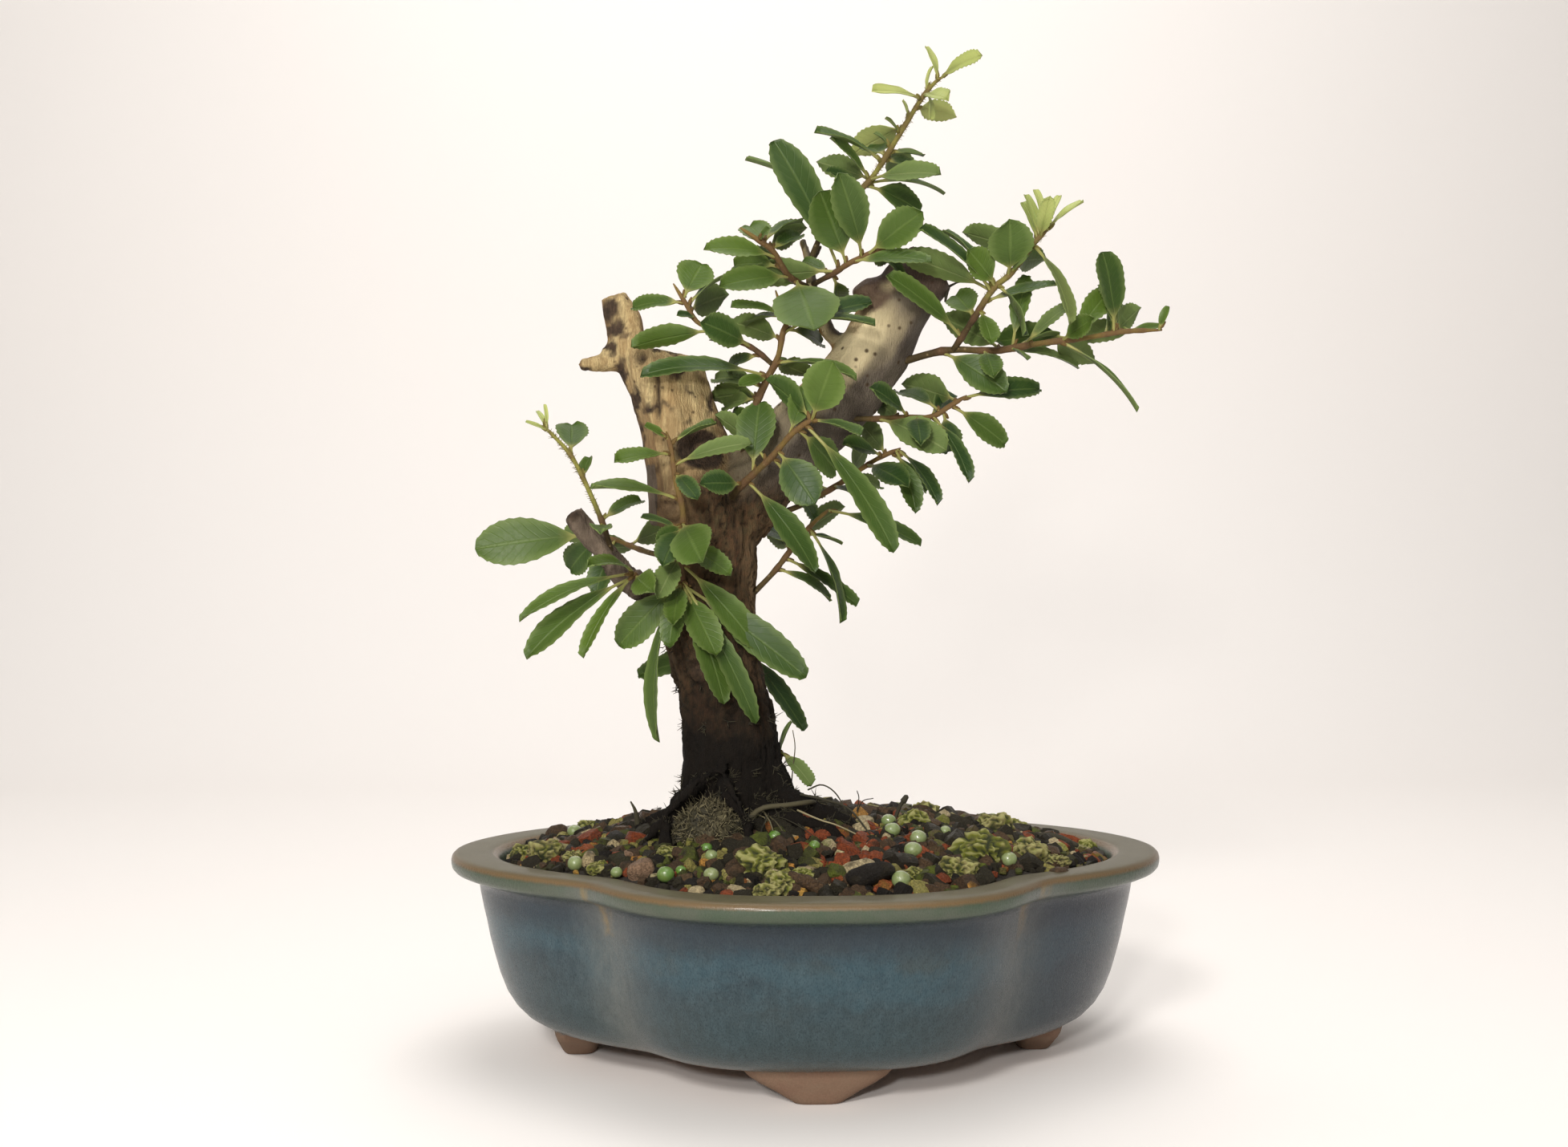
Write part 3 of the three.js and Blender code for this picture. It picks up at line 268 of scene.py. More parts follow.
        {"path": [(-16, -8, 96), (-8, -5.5, 104), (-4, -4, 109), (1, -2, 115), (5, -1, 118.5)],
         "thick": (2.2, 1.4), "behind": 2,
         "leaves": [(0.42, 6, 0, 99, 4, 30), (0.52, 11, -1, 97, 4, 45), (0.62, -9, 5, 115, 6, 60),
            (0.74, 8, 0, 111, 2.5, 15), (0.99, 26, 1, 111, 5.5, 50), (0.8, 8, -9, 94, 5.5, 30)]},
    ],
    "shoot_back": [
        {"path": [(-20, -1, 85), (-17, 6, 86), (-15, 12, 89)],
         "thick": (2.2, 1.5), "behind": 3,
         "leaves": [(0.95, 0, 13, 68, 5.5, 60), (0.55, -38, -2, 81, 5.5, 60),
            (0.7, -34, 17, 84, 4, 50)]},
    ],
    "sucker": [
        {"path": [(-13, -4, 59), (-6.5, 0, 62.5), (-5.5, 1, 65)],
         "thick": (1.8, 1.3),
         "leaves": [(0.95, 1, -4, 58, 4, 50), (0.8, -3, 4, 71, 2.5, 20)]},
    ],
}

# A leaf that would touch another was swung in the solids. These are the swings tried there, as
# shares of its length: to the back and up.
SWINGS = [
    (0, 0), (-0.15, 0), (0.15, 0), (-0.3, 0), (0.3, 0), (0, 0.15), (0, -0.15), (-0.45, 0),
    (0.45, 0), (-0.2, 0.2), (0.2, 0.2), (-0.2, -0.2), (0.2, -0.2), (-0.7, 0), (0.7, 0),
    (0, 0.35), (0, -0.35), (-0.5, 0.4), (0.5, 0.4), (-0.5, -0.4), (0.5, -0.4),
]
# Leaves behind a stem: their turn, and their width as a share of their length
BEHIND_TURN = -50
BEHIND_WIDTH = 0.33
# Rise of a leaf's arch as a share of its length, and depth of the rib under a solid leaf
LEAF_ARCH = 0.07
KEEL = 0.55
# Thickness of a stem as a share of the solid one's
STEM_SHARE = 0.62

# Rows of a leaf's blade: share of its length, and share of its full width there, for a broad leaf
BLADE_ROWS = [
    (0, 0.06), (0.08, 0.05), (0.16, 0.05), (0.2, 0.1), (0.26, 0.29), (0.33, 0.52), (0.4, 0.71),
    (0.46, 0.83), (0.51, 0.91), (0.56, 0.96), (0.61, 0.99), (0.66, 1), (0.7, 0.99),
    (0.74, 0.975), (0.78, 0.94), (0.82, 0.89), (0.86, 0.81), (0.895, 0.725), (0.925, 0.63),
    (0.95, 0.52), (0.97, 0.42), (0.985, 0.32), (0.997, 0.18),
]
BLADE_COLUMNS = 2
BLADE_THICKNESS = 0.34
# How far a tooth of the edge stands out
TOOTH = 0.14

# Larger stones in the soil: x, y, size across, kind, how many times as long, lean in degrees
STONES = [
    (-35, -36, 6.4, "pink"), (-16, -41, 6, "brown"), (-38, -34, 4, "brown"),
    (10, -47, 6.6, "black", 2.0, 6), (-1, -49, 4.6, "brown", 2.4, -24),
    (8, -42, 6.2, "pale", 1.2, 0), (30, -46, 3.8, "orange"), (28, -45, 2.4, "red"),
    (-46, -26, 4.6, "pale"), (-24, -49, 3.4, "pale"), (12, -30, 3.4, "red"),
    (48, -7, 4, "red"), (56, -7, 3.4, "red"), (41, -24, 3, "red"), (-56, 14, 6, "brown"),
    (-40, 30, 5.5, "red"), (18, 40, 6, "pale"), (38, 32, 6, "brown"), (-12, 44, 5, "pink"),
    (50, -33, 4.4, "brown"), (-52, -4, 4.6, "brown"), (-38, -28, 4, "pink"),
]
# Pumice lumps grown over with moss: x, y, size across, share of green
LUMPS = [
    (-56, -14, 7, 0.1), (-62, -5, 4.8, 0.5), (-11, -41, 7.6, 0.7), (-7, -49, 5.8, 0.45),
    (-10, -52, 4.6, 0.2), (-3, -45, 4, 0.85), (23, -8, 6, 0.9), (35, -29, 9, 0.75),
    (42, -1, 7.6, 0.25), (46, -22, 6.8, 0.2), (51, -24, 4.2, 0.1), (28, -40, 5.8, 0.3),
    (19, -43, 3.6, 0.6), (63, 1, 4, 1), (-44, -31, 4, 0.5), (-50, -20, 3.4, 0.35),
    (-30, -30, 4, 0.5), (3, 42, 7, 0.8), (-28, 38, 6, 0.5), (30, 34, 6, 0.3),
    (-50, 22, 5, 0.6), (50, 20, 5, 0.7),
]
# Round feed pellets: x, y, size across, share of green
PELLETS = [
    (-49, -27, 3.4, 0.1), (-30, -42, 3.7, 0.8), (-21, -44, 3.3, 0), (-21, -35, 2.8, 0.2),
    (-22, -31, 2.6, 0.9), (-8, -28, 3, 1), (-27, -40, 2.4, 1), (17, -13, 3.4, 0.3),
    (17, -21, 3.7, 0.25), (22, -25, 3.7, 0.1), (20, -33, 4, 0.2), (16, -48, 4, 0.15),
    (40, -31, 3.6, 0.1), (0, -32, 2.5, 0.9), (29, -15, 2.6, 0.1), (-40, -36, 2.6, 0.3),
    (24, 36, 4, 0.2), (-30, 36, 4, 0.2), (-52, 8, 3.5, 0.2), (45, 22, 3.6, 0.3),
]
# Where most of the red clay grains lie
RED_SPOT = (10, -34, 13)

# Single roots and twigs on the soil and by the limb's end: path, first and last radius, paleness
THREADS = [
    ([(-14, -21, 50.5), (-12.6, -21, 53.4), (-10, -20.5, 55.1), (-5.4, -20, 55.5),
      (-1, -18.5, 55.9), (1, -14, 55.4)], (0.62, 0.5), 0.36),
    ([(-3, -21, 54.6), (1.5, -24, 53), (5, -25, 52), (9.5, -26, 50)], (0.22, 0.14), 0.85),
    ([(-2, -14, 57), (3, -15, 56), (8, -18, 54.5), (12, -24, 50)], (0.3, 0.18), 0.12),
    ([(-3.5, -1, 57), (-3, -1.5, 62), (-2.6, -1, 66), (-3.1, -1, 69.6)], (0.16, 0.1), 0.5),
    ([(52, 2, 45.5), (56, 0, 45.5), (60, -3, 44)], (0.9, 0.55), 0.1),
    ([(18, -6, 47), (20, -5, 52.5), (21.2, -5, 54.6)], (0.4, 0.45), 0.1),
    ([(21, -5, 54.2), (21.8, -5, 55.4)], (0.75, 0.55), 0.1),
    ([(-37, -8, 50), (-37.5, -9, 53), (-38.5, -9, 55)], (0.8, 0.2), 0.2),
    ([(10, -8, 50), (11.5, -9, 54.6), (14, -10, 55.6)], (0.15, 0.1), 0.1),
    ([(10, -8, 50), (11, -8, 55), (10.6, -8, 57)], (0.15, 0.1), 0.1),
    ([(28.8, -12, 164.1), (29.9, -12, 166), (31.8, -12, 167.1), (33.1, -12, 168.3)],
     (0.45, 0.12), 0.15),
    ([(31.2, -12, 166.8), (32.4, -12, 167.2), (33.8, -12, 167.2)], (0.2, 0.1), 0.15),
    ([(29.9, -12, 166), (29.6, -12.5, 164.6), (29.3, -12.5, 162.9)], (0.5, 0.25), 0.1),
    ([(0, -6, 57), (3, -7, 58.2), (6, -8, 56.4), (8.5, -9, 52)], (0.2, 0.14), 0.2),
]

# How many fine threads stand on the hummock, lie round the trunk and grow from its bark
HUMMOCK_FIBRES = 2200
LOOSE_ROOTS = 110
BARK_FIBRES = 2600
# Points along each single thread and each loose root
THREAD_POINTS = 14
ROOT_POINTS = 8

# Blocks cut from the trunk, as four corners in x and z: beside the stub, and the plain spur
TRUNK_CUTS = [
    [(-35.2, 153.4), (-22, 150.6), (-18, 176), (-39.2, 172)],
    [(-54, 149.4), (-44.6, 149.4), (-45.2, 156), (-54, 156)],
]
# The hollow in the fork: its middle and its radii
HOLLOW = ((-21.3, -16.5, 131.3), np.array((7.4, 6.5, 4.8)))
# Forms added to the trunk: a path and its first and last radius
TRUNK_KNOBS = [
    ([(-37, -6, 151), (-43, -8, 149.8), (-49.4, -9, 149.4)], (2.3, 1.7)),
    ([(-40, -6, 151), (-43, -8, 154)], (2.6, 1.7)),
    ([(18, -9, 161), (13.5, -11, 165.5), (12.5, -11.5, 167)], (6.5, 3.6)),
    ([(-33, -7, 141), (-25, -8, 148.5)], (5, 4.2)),
    ([(-17, -12, 66), (-20, -19, 63), (-24, -23, 60.8), (-28, -24, 57), (-31.5, -23.5, 53),
      (-34.5, -22, 48.5)], (1.0, 0.7)),
    ([(-17, -12, 66), (-18.5, -20, 62.5), (-16.5, -24.5, 58.5), (-14.6, -26.5, 54.5),
      (-13.2, -27.5, 48.5)], (0.9, 0.6)),
]
# Knots on the front: x, y, z, size and rise of the ring round each
KNOTS = [
    (14.6, -15.5, 164.8, 1.5, 0.5), (-36, -12, 150.5, 2, 0.8), (-29, -13, 119, 2.4, 0.9),
    (-24, -14, 84, 2.6, 1), (-12, -14, 97, 2, 0.8), (4, -15, 150, 1.6, 0.5),
]
# Size of the cells that the trunk is rebuilt from
BARK_VOXEL = 0.6
# On the limb: the way its sawn end faces, the stub's end, a pale callus and the middle of the
# painted highlight on its sunny side, which is x, z and reach
LIMB_WAY = (0.75, -0.08, 0.66)
STUB_END = (12, -15, 165.5)
CALLUS = (16.4, -15.5, 166)
CALLUS_SIZE = 1.7
HIGHLIGHT_SPOT = (11, 154, 8)
# Dark stains on the bare wood: x, z, half the width, half the height
STAINS = [
    (-43.2, 161.3, 2.6, 2.6), (-41.5, 157, 2.2, 2.2), (-43, 153, 1.6, 1.4),
    (-40.5, 147.5, 1.6, 3.6), (-37.6, 141.5, 1.2, 4), (-28, 147.8, 2.4, 1.3),
    (-33.8, 139.8, 1.7, 1.6), (-21.8, 141.5, 1.3, 3), (-25.5, 143, 0.8, 0.8),
    (-36.5, 131, 1.2, 7), (-31, 152.4, 4, 0.8), (-48.6, 148.4, 2, 0.8),
    (-51.5, 116.5, 3, 1.4),
]


# Modelling helpers


def deselect():
    """Leaves edit mode and selects nothing"""
    if bpy.context.object and bpy.context.object.mode != "OBJECT":
        bpy.ops.object.mode_set(mode="OBJECT")
    bpy.ops.object.select_all(action="DESELECT")


def take(obj):
    """Selects one object alone and makes it the active one"""
    deselect()
    obj.select_set(True)
    bpy.context.view_layer.objects.active = obj


def apply_modifier(obj, kind, **settings):
    """Adds a modifier with these settings and applies it"""
    take(obj)
    modifier = obj.modifiers.new(kind.title(), kind)
    for name, value in settings.items():
        setattr(modifier, name, value)
    bpy.ops.object.modifier_apply(modifier=modifier.name)


def tidy_shell(obj):
    """Merges doubles and turns the faces of a closed shell outwards"""
    take(obj)
    bpy.ops.object.mode_set(mode="EDIT")
    bpy.ops.mesh.select_all(action="SELECT")
    bpy.ops.mesh.remove_doubles(threshold=1e-6)
    bpy.ops.mesh.normals_make_consistent(inside=False)
    bpy.ops.object.mode_set(mode="OBJECT")


def wrapped(name, around, along, place):
    """A grid wrapped into a closed shell: place(u, v) gives each point in mm, u round, v along"""
    deselect()
    bpy.ops.mesh.primitive_grid_add(x_subdivisions=around, y_subdivisions=along, size=1)
    obj = bpy.context.object
    obj.name = name
    for vertex in obj.data.vertices:
        u, v = vertex.co.x + 0.5, vertex.co.y + 0.5
        vertex.co = Vector(place(u, v)) * MM
    tidy_shell(obj)
    return obj


def points_of(obj):
    """The vertices of a mesh in mm"""
    flat = np.empty(len(obj.data.vertices) * 3, np.float32)
    obj.data.vertices.foreach_get("co", flat)
    return flat.reshape(-1, 3).astype(float) / MM


def normals_of(obj):
    """The vertex normals of a mesh"""
    return np.array([n.vector for n in obj.data.vertex_normals], float)


def move_points(obj, points):
    """Gives a mesh new places for its vertices, in mm"""
    obj.data.vertices.foreach_set("co", (np.asarray(points) * MM).astype(np.float32).ravel())
    obj.data.update()


def paint(obj, name, values):
    """Keeps one number for each vertex, for the material to read"""
    attribute = obj.data.attributes.get(name) or obj.data.attributes.new(name, "FLOAT", "POINT")
    attribute.data.foreach_set("value", np.asarray(values, np.float32))


def mesh_piece(name, parts, marks=None):
    """One object from a list of (points in mm, faces); marks give numbers for the vertices"""
    points, faces, start = [], [], 0
    for part_points, part_faces in parts:
        points.append(np.asarray(part_points, float))
        faces.extend([[start + i for i in face] for face in part_faces])
        start += len(part_points)
    mesh = bpy.data.meshes.new(name)
    mesh.from_pydata((np.concatenate(points) * MM).tolist(), [], faces)
    obj = bpy.data.objects.new(name, mesh)
    bpy.context.scene.collection.objects.link(obj)
    for mark, values in (marks or {}).items():
        paint(obj, mark, np.concatenate(values))
    return obj


class Heap:
    """Gathers the parts of one piece, with marks that are one number or one for each point"""

    def __init__(self):
        self.parts, self.marks = [], {}

    def add(self, part, **marks):
        """Adds one (points in mm, faces) with its marks"""
        self.parts.append(part)
        for mark, values in marks.items():
            self.marks.setdefault(mark, []).append(np.broadcast_to(values, len(part[0])))

    def piece(self, name):
        """The object made of all parts"""
        return mesh_piece(name, self.parts, self.marks)


def finished(obj, material, replaces, angle=None):
    """Gives a piece its material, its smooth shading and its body"""
    obj.data.materials.clear()
    obj.data.materials.append(material)
    take(obj)
    if angle is None:
        bpy.ops.object.shade_smooth()
    else:
        bpy.ops.object.shade_smooth_by_angle(angle=math.radians(angle))
    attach(obj, "root")
    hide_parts(*replaces)
    deselect()


def smooth_line(points, count):
    """A smooth line of count points through the given ones, evenly spread along its length"""
    knots = np.asarray(points, float)
    lengths = np.linalg.norm(np.diff(knots, axis=0), axis=1)
    at = np.concatenate([[0], np.cumsum(lengths)])
    ends = np.concatenate([[2 * knots[0] - knots[1]], knots, [2 * knots[-1] - knots[-2]]])
    line = []
    for target in np.linspace(0, at[-1], count):
        k = min(int(np.searchsorted(at, target, side="right")) - 1, len(knots) - 2)
        t = (target - at[k]) / lengths[k]
        a, b, c, d = ends[k : k + 4]
        line.append(
            0.5 * (2 * b + (c - a) * t + (2 * a - 5 * b + 4 * c - d) * t**2
                   + (3 * b - a - 3 * c + d) * t**3)
        )
    return np.array(line)


def ring_faces(rings, sides):
    """Faces of a closed tube of that many rings, with a fan point at each end"""
    faces = []
    for k in range(rings - 1):
        for i in range(sides):
            j = (i + 1) % sides
            faces.append([k * sides + i, k * sides + j, (k + 1) * sides + j, (k + 1) * sides + i])
    first, last = rings * sides, rings * sides + 1
    for i in range(sides):
        j = (i + 1) % sides
        faces.append([first, j, i])
        faces.append([last, (rings - 1) * sides + i, (rings - 1) * sides + j])
    return faces


def tube(line, radii, sides, round_end=0.6):
    """A closed tube along a line of points, with a radius at each"""
    line = np.asarray(line, float)
    count = len(line)
    radii = np.broadcast_to(radii, (count,))
    along = np.gradient(line, axis=0)
    along /= np.linalg.norm(along, axis=1)[:, None]
    across = np.cross(along[0], (0.31, 0.87, 0.38))
    points = []
    for k in range(count):
        across = unit(across - along[k] * across.dot(along[k]))
        other = np.cross(along[k], across)
        for i in range(sides):
            a = 2 * math.pi * i / sides
            points.append(line[k] + radii[k] * (math.cos(a) * across + math.sin(a) * other))
    points.append(line[0] - along[0] * radii[0] * round_end)
    points.append(line[-1] + along[-1] * radii[-1] * round_end)
    return np.array(points), ring_faces(count, sides)


def unit(vector):
    """The vector at length 1"""
    return vector / np.linalg.norm(vector)


def smoothstep(value, low, high):
    """0 below low, 1 above high, and smooth between"""
    t = np.clip((np.asarray(value, float) - low) / (high - low), 0, 1)
    return t * t * (3 - 2 * t)


def noise_at(points, size, seed, stretch=(1, 1, 1)):
    """Smooth noise from -1 to 1 with lumps about size mm across"""
    scaled = np.asarray(points) * np.array(stretch) / size + 17.3 * seed
    return np.array([noise.noise(p) for p in scaled.tolist()])


def distance_to(points, path):
    """Each point's distance to a path of straight pieces, and the share of the path there"""
    path = np.asarray(path, float)
    best = np.full(len(points), 1e9)
    share = np.zeros(len(points))
    for k in range(len(path) - 1):
        step = path[k + 1] - path[k]
        t = np.clip(((points - path[k]) @ step) / step.dot(step), 0, 1)
        gap = np.linalg.norm(points - path[k] - t[:, None] * step, axis=1)
        nearer = gap < best
        best[nearer] = gap[nearer]
        share[nearer] = (k + t[nearer]) / (len(path) - 1)
    return best, share


def drawn(rng, *limits):
    """A point from one even draw between each pair of limits"""
    return np.array([rng.uniform(low, high) for low, high in limits])


def ball(detail, radius=1):
    """A ball of triangles"""
    deselect()
    bpy.ops.mesh.primitive_ico_sphere_add(subdivisions=detail, radius=radius)
    return bpy.context.object


def combined(obj, other, operation="DIFFERENCE"):
    """Cuts another shape from this one, or adds it, and removes the other"""
    apply_modifier(obj, "BOOLEAN", object=other, operation=operation, solver="EXACT")
    bpy.data.objects.remove(other)


def template(obj):
    """The points and faces of a shape that is copied, and removes the shape"""
    points = points_of(obj) * MM
    faces = [list(p.vertices) for p in obj.data.polygons]
    bpy.data.objects.remove(obj)
    return points, faces


# Material helpers


def new_material(name):
    """An empty material, its tree and its Principled shader"""
    material = bpy.data.materials.new(name)
    material.use_nodes = True
    tree = material.node_tree
    tree.nodes.clear()
    shader = tree.nodes.new("ShaderNodeBsdfPrincipled")
    output = tree.nodes.new("ShaderNodeOutputMaterial")
    tree.links.new(shader.outputs["BSDF"], output.inputs["Surface"])
    return material, tree, shader


def feed(tree, node, inputs):
    """Gives a node's inputs their numbers, or the sockets that feed them"""
    for name, value in inputs.items():
        if isinstance(value, bpy.types.NodeSocket):
            tree.links.new(value, node.inputs[name])
        else:
            node.inputs[name].default_value = value
    return node


def step(tree, kind, inputs=None, **settings):
    """Adds a node with these settings and feeds its inputs"""
    node = tree.nodes.new(kind if kind.startswith("Node") else "ShaderNode" + kind)
    for name, value in settings.items():
        setattr(node, name, value)
    return feed(tree, node, inputs or {})


def mixed(tree, factor, first, second, blend="MIX"):
    """Mixes two colours"""
    tones = [v if isinstance(v, bpy.types.NodeSocket) else (*v[:3], 1) for v in (first, second)]
    node = step(tree, "Mix", data_type="RGBA", blend_type=blend)
    return feed(tree, node, {0: factor, 6: tones[0], 7: tones[1]}).outputs[2]


def maths(tree, operation, first, second=0.0):
    """One sum on two values"""
    node = step(tree, "Math", {0: first, 1: second}, operation=operation)
    return node.outputs[0]


def times(tree, first, second):
    """Multiplies two values"""
    return maths(tree, "MULTIPLY", first, second)


def plus(tree, first, second):
    """Adds two values"""
    return maths(tree, "ADD", first, second)


def layered(tree, tone, *layers):
    """Lays colours over a first one, in order; a layer is a mask, at times a share, and a colour"""
    for mask, *share, over in layers:
        tone = mixed(tree, times(tree, mask, *share) if share else mask, tone, over)
    return tone


def scaled(tone, share):
    """A colour or a place with its values scaled"""
    return [share * value for value in tone]


def ranged(tree, value, low, high, to_low=0.0, to_high=1.0):
    """Maps a range of values to another, held at its ends"""
    inputs = {"Value": value, "From Min": low, "From Max": high, "To Min": to_low,
              "To Max": to_high}
    return step(tree, "MapRange", inputs).outputs["Result"]


def marked(tree, name):
    """The value that paint kept under this name"""
    return step(tree, "Attribute", attribute_name=name).outputs["Fac"]


def ramp(tree, factor, stops, interpolation="LINEAR"):
    """A colour ramp; stops are (place, colour)"""
    node = step(tree, "ValToRGB", {"Fac": factor})
    node.color_ramp.interpolation = interpolation
    elements = node.color_ramp.elements
    while len(elements) < len(stops):
        elements.new(0.5)
    for element, (place, colour) in zip(elements, stops):
        element.position = place
        element.color = (*colour[:3], 1)
    return node.outputs["Color"]


def group(name, inputs, outputs):
    """An empty node group with named number inputs and outputs; returns it and its two ends"""
    tree = bpy.data.node_groups.new(name, "ShaderNodeTree")
    for socket, default in inputs:
        made = tree.interface.new_socket(socket, in_out="INPUT", socket_type="NodeSocketFloat")
        made.default_value = default
    for socket in outputs:
        tree.interface.new_socket(socket, in_out="OUTPUT", socket_type="NodeSocketFloat")
    return tree, tree.nodes.new("NodeGroupInput"), tree.nodes.new("NodeGroupOutput")


def mottle_group():
    """Soft clouds at a size in mm, stretched along the height, as a mask and as finer flecks"""
    if "Mottle" in bpy.data.node_groups:
        return bpy.data.node_groups["Mottle"]
    tree, start, end = group(
        "Mottle", [("Size mm", 10), ("Stretch", 1), ("Contrast", 0.2)], ["Mask", "Flecks"]
    )
    coordinates = step(tree, "TexCoord").outputs["Object"]
    spread = step(tree, "CombineXYZ", {"X": 1.0, "Y": 1.0,
                                       "Z": maths(tree, "DIVIDE", 1.0, start.outputs["Stretch"])})
    place = step(tree, "VectorMath", {0: coordinates, 1: spread.outputs[0]},
                 operation="MULTIPLY").outputs[0]
    scale = maths(tree, "DIVIDE", 1000.0, start.outputs["Size mm"])
    clouds = step(tree, "TexNoise", {"Vector": place, "Scale": scale, "Detail": 5.0,
                                     "Roughness": 0.6}).outputs["Fac"]
    fine = times(tree, scale, 6.0)
    flecks = step(tree, "TexNoise", {"Vector": place, "Scale": fine, "Detail": 3.0,
                                     "Roughness": 0.7}).outputs["Fac"]
    low = maths(tree, "SUBTRACT", 0.5, start.outputs["Contrast"])
    high = plus(tree, 0.5, start.outputs["Contrast"])
    for name, value in (("Mask", clouds), ("Flecks", flecks)):
        tree.links.new(ranged(tree, value, low, high), end.inputs[name])
    return tree


def dots_group():
    """Scattered dots at a size in mm, such as lenticels and pinholes, as a mask"""
    if "Dots" in bpy.data.node_groups:
        return bpy.data.node_groups["Dots"]
    tree, start, end = group("Dots", [("Size mm", 3), ("Share", 0.3)], ["Mask"])
    coordinates = step(tree, "TexCoord").outputs["Object"]
    scale = maths(tree, "DIVIDE", 1000.0, start.outputs["Size mm"])
    cells = step(tree, "TexVoronoi", {"Vector": coordinates, "Scale": scale})
    spot = ranged(tree, cells.outputs["Distance"], 0.12, 0.26, 1.0, 0.0)
    some = step(tree, "SeparateColor", {"Color": cells.outputs["Color"]}).outputs["Red"]
    kept = maths(tree, "LESS_THAN", some, start.outputs["Share"])
    tree.links.new(times(tree, spot, kept), end.inputs["Mask"])
    return tree


def use(tree, made, **inputs):
    """Places a node group; underscores in the input names stand for spaces"""
    node = step(tree, "Group", node_tree=made)
    return feed(tree, node, {name.replace("_", " "): value for name, value in inputs.items()})


def mottled(tree, size, stretch=1.0, contrast=0.2):
    """Places the mottle group at a size in mm; returns its outputs"""
    return use(tree, mottle_group(), Size_mm=size, Stretch=stretch, Contrast=contrast).outputs


def dotted(tree, size, share):
    """Places the dots group at a size in mm; returns its outputs"""
    return use(tree, dots_group(), Size_mm=size, Share=share).outputs


def bumped(tree, shader, height, distance):
    """Raises the surface by a distance in mm where the height is 1"""
    bump = step(tree, "Bump", {"Height": height, "Distance": distance * MM, "Strength": 1.0})
    feed(tree, shader, {"Normal": bump.outputs["Normal"]})


def height_mm(tree):
    """The height above the ground in mm"""
    coordinates = step(tree, "TexCoord").outputs["Object"]
    height = step(tree, "SeparateXYZ", {"Vector": coordinates}).outputs["Z"]
    return times(tree, height, 1000.0)


# Settings


def colour(name, description, default):
    """A colour setting"""
    return FloatVectorProperty(
        name=name, description=description, default=default, subtype="COLOR", min=0, max=1
    )


def length(name, description, default, low, high):
    """A length setting"""
    return FloatProperty(
        name=name, description=description, default=default, min=low, max=high, unit="LENGTH"
    )


class PotSettings(bpy.types.PropertyGroup):
    """Glaze and clay of the pot"""

    glaze: colour("Glaze", "Blue of the glaze where it lies thick", (0.012, 0.026, 0.036))
    glaze_light: colour("Light Glaze", "Paler streaks in the glaze", (0.026, 0.05, 0.061))
    glaze_green: colour("Green Glaze", "Band under the rim", (0.048, 0.072, 0.044))
    rim: colour("Rim", "Thin glaze on top of the rim", (0.102, 0.088, 0.043))
    clay: colour("Clay", "Bare clay of the feet", (0.2, 0.118, 0.078))


class SoilSettings(bpy.types.PropertyGroup):
    """Grains of the soil"""

    grain: length("Grain", "Spacing of the middle-sized grains", 0.0036, 0.002, 0.008)
    earth: colour("Earth", "Dark fine soil between the grains", (0.018, 0.014, 0.01))
    pellet: colour("Pellet", "Waxy round feed pellets", (0.27, 0.32, 0.15))
    moss: colour("Moss", "Green moss on the lumps", (0.3, 0.33, 0.02))
    seed: IntProperty(name="Seed", description="Order of the random draws", default=7, min=0)


class BarkSettings(bpy.types.PropertyGroup):
    """Wood and bark of the tree"""

    bark: colour("Bark", "Old bark on the trunk", (0.03, 0.022, 0.013))
    bark_light: colour("Worn Bark", "Worn ridges of the bark", (0.095, 0.07, 0.034))
    wood: colour("Bare Wood", "Weathered bare wood of the stub", (0.7, 0.55, 0.28))
    # The limb's colour where painted light falls on its sunny side; its shaded side stays dark
    limb: colour("Limb", "Smooth young bark of the limb", (0.52, 0.42, 0.23))
    relief: length("Relief", "Depth of the cracks in the bark", 0.0006, 0, 0.002)


class LeafSettings(bpy.types.PropertyGroup):
    """Leaves and shoots"""

    leaf: colour("Leaf", "Upper side of a grown leaf", (0.086, 0.142, 0.017))
    # Dark Leaf is also the painted shade of leaves deep in the crown and on the shaded shoots
    leaf_dark: colour("Dark Leaf", "Older leaves", (0.017, 0.044, 0.011))
    underside: colour("Underside", "Pale side of a leaf", (0.12, 0.17, 0.045))
    young: colour("Young Leaf", "Leaves at the growing tips", (0.52, 0.56, 0.18))
    stem: colour("Stem", "Bark of the shoots", (0.07, 0.047, 0.016))


class StageSettings(bpy.types.PropertyGroup):
    """Floor, backdrop and light"""

    backdrop: colour("Backdrop", "Warm white of the floor and the wall", (0.97, 0.935, 0.905))
    wall: length("Wall", "Distance from the pot's middle to the wall", 0.75, 0.7, 2)
    key: FloatProperty(
        name="Key Light", description="Power of the main light",
        default=4.7, min=0, max=200, subtype="POWER",
    )
    sky: FloatProperty(
        name="Fill", description="Strength of the even light from all round",
        default=0.25, min=0, max=5,
    )


# The pot


def bar(angle, half_length, half_depth, power):
    """Radius of one rounded bar of the outline at an angle"""
    along = abs(math.cos(angle)) / half_length
    across = abs(math.sin(angle)) / half_depth
    return (along**power + across**power) ** (-1 / power)


def lobes(angle, half_length):
    """Radii of the side lobes and of the front and back lobes at an angle"""
    sides = bar(angle, half_length, 0.66 * half_length, 2)
    fronts = bar(angle, 0.65 * half_length, half_length - LENGTH_LESS_DEPTH, 2.7)
    return sides, fronts


def outline(angle, half_length):
    """Radius of the pot's four-lobed outline, a little softened where two lobes meet"""
    sides, fronts = lobes(angle, half_length)
    return (sides**LOBE_SHARPNESS + fronts**LOBE_SHARPNESS) ** (1 / LOBE_SHARPNESS)


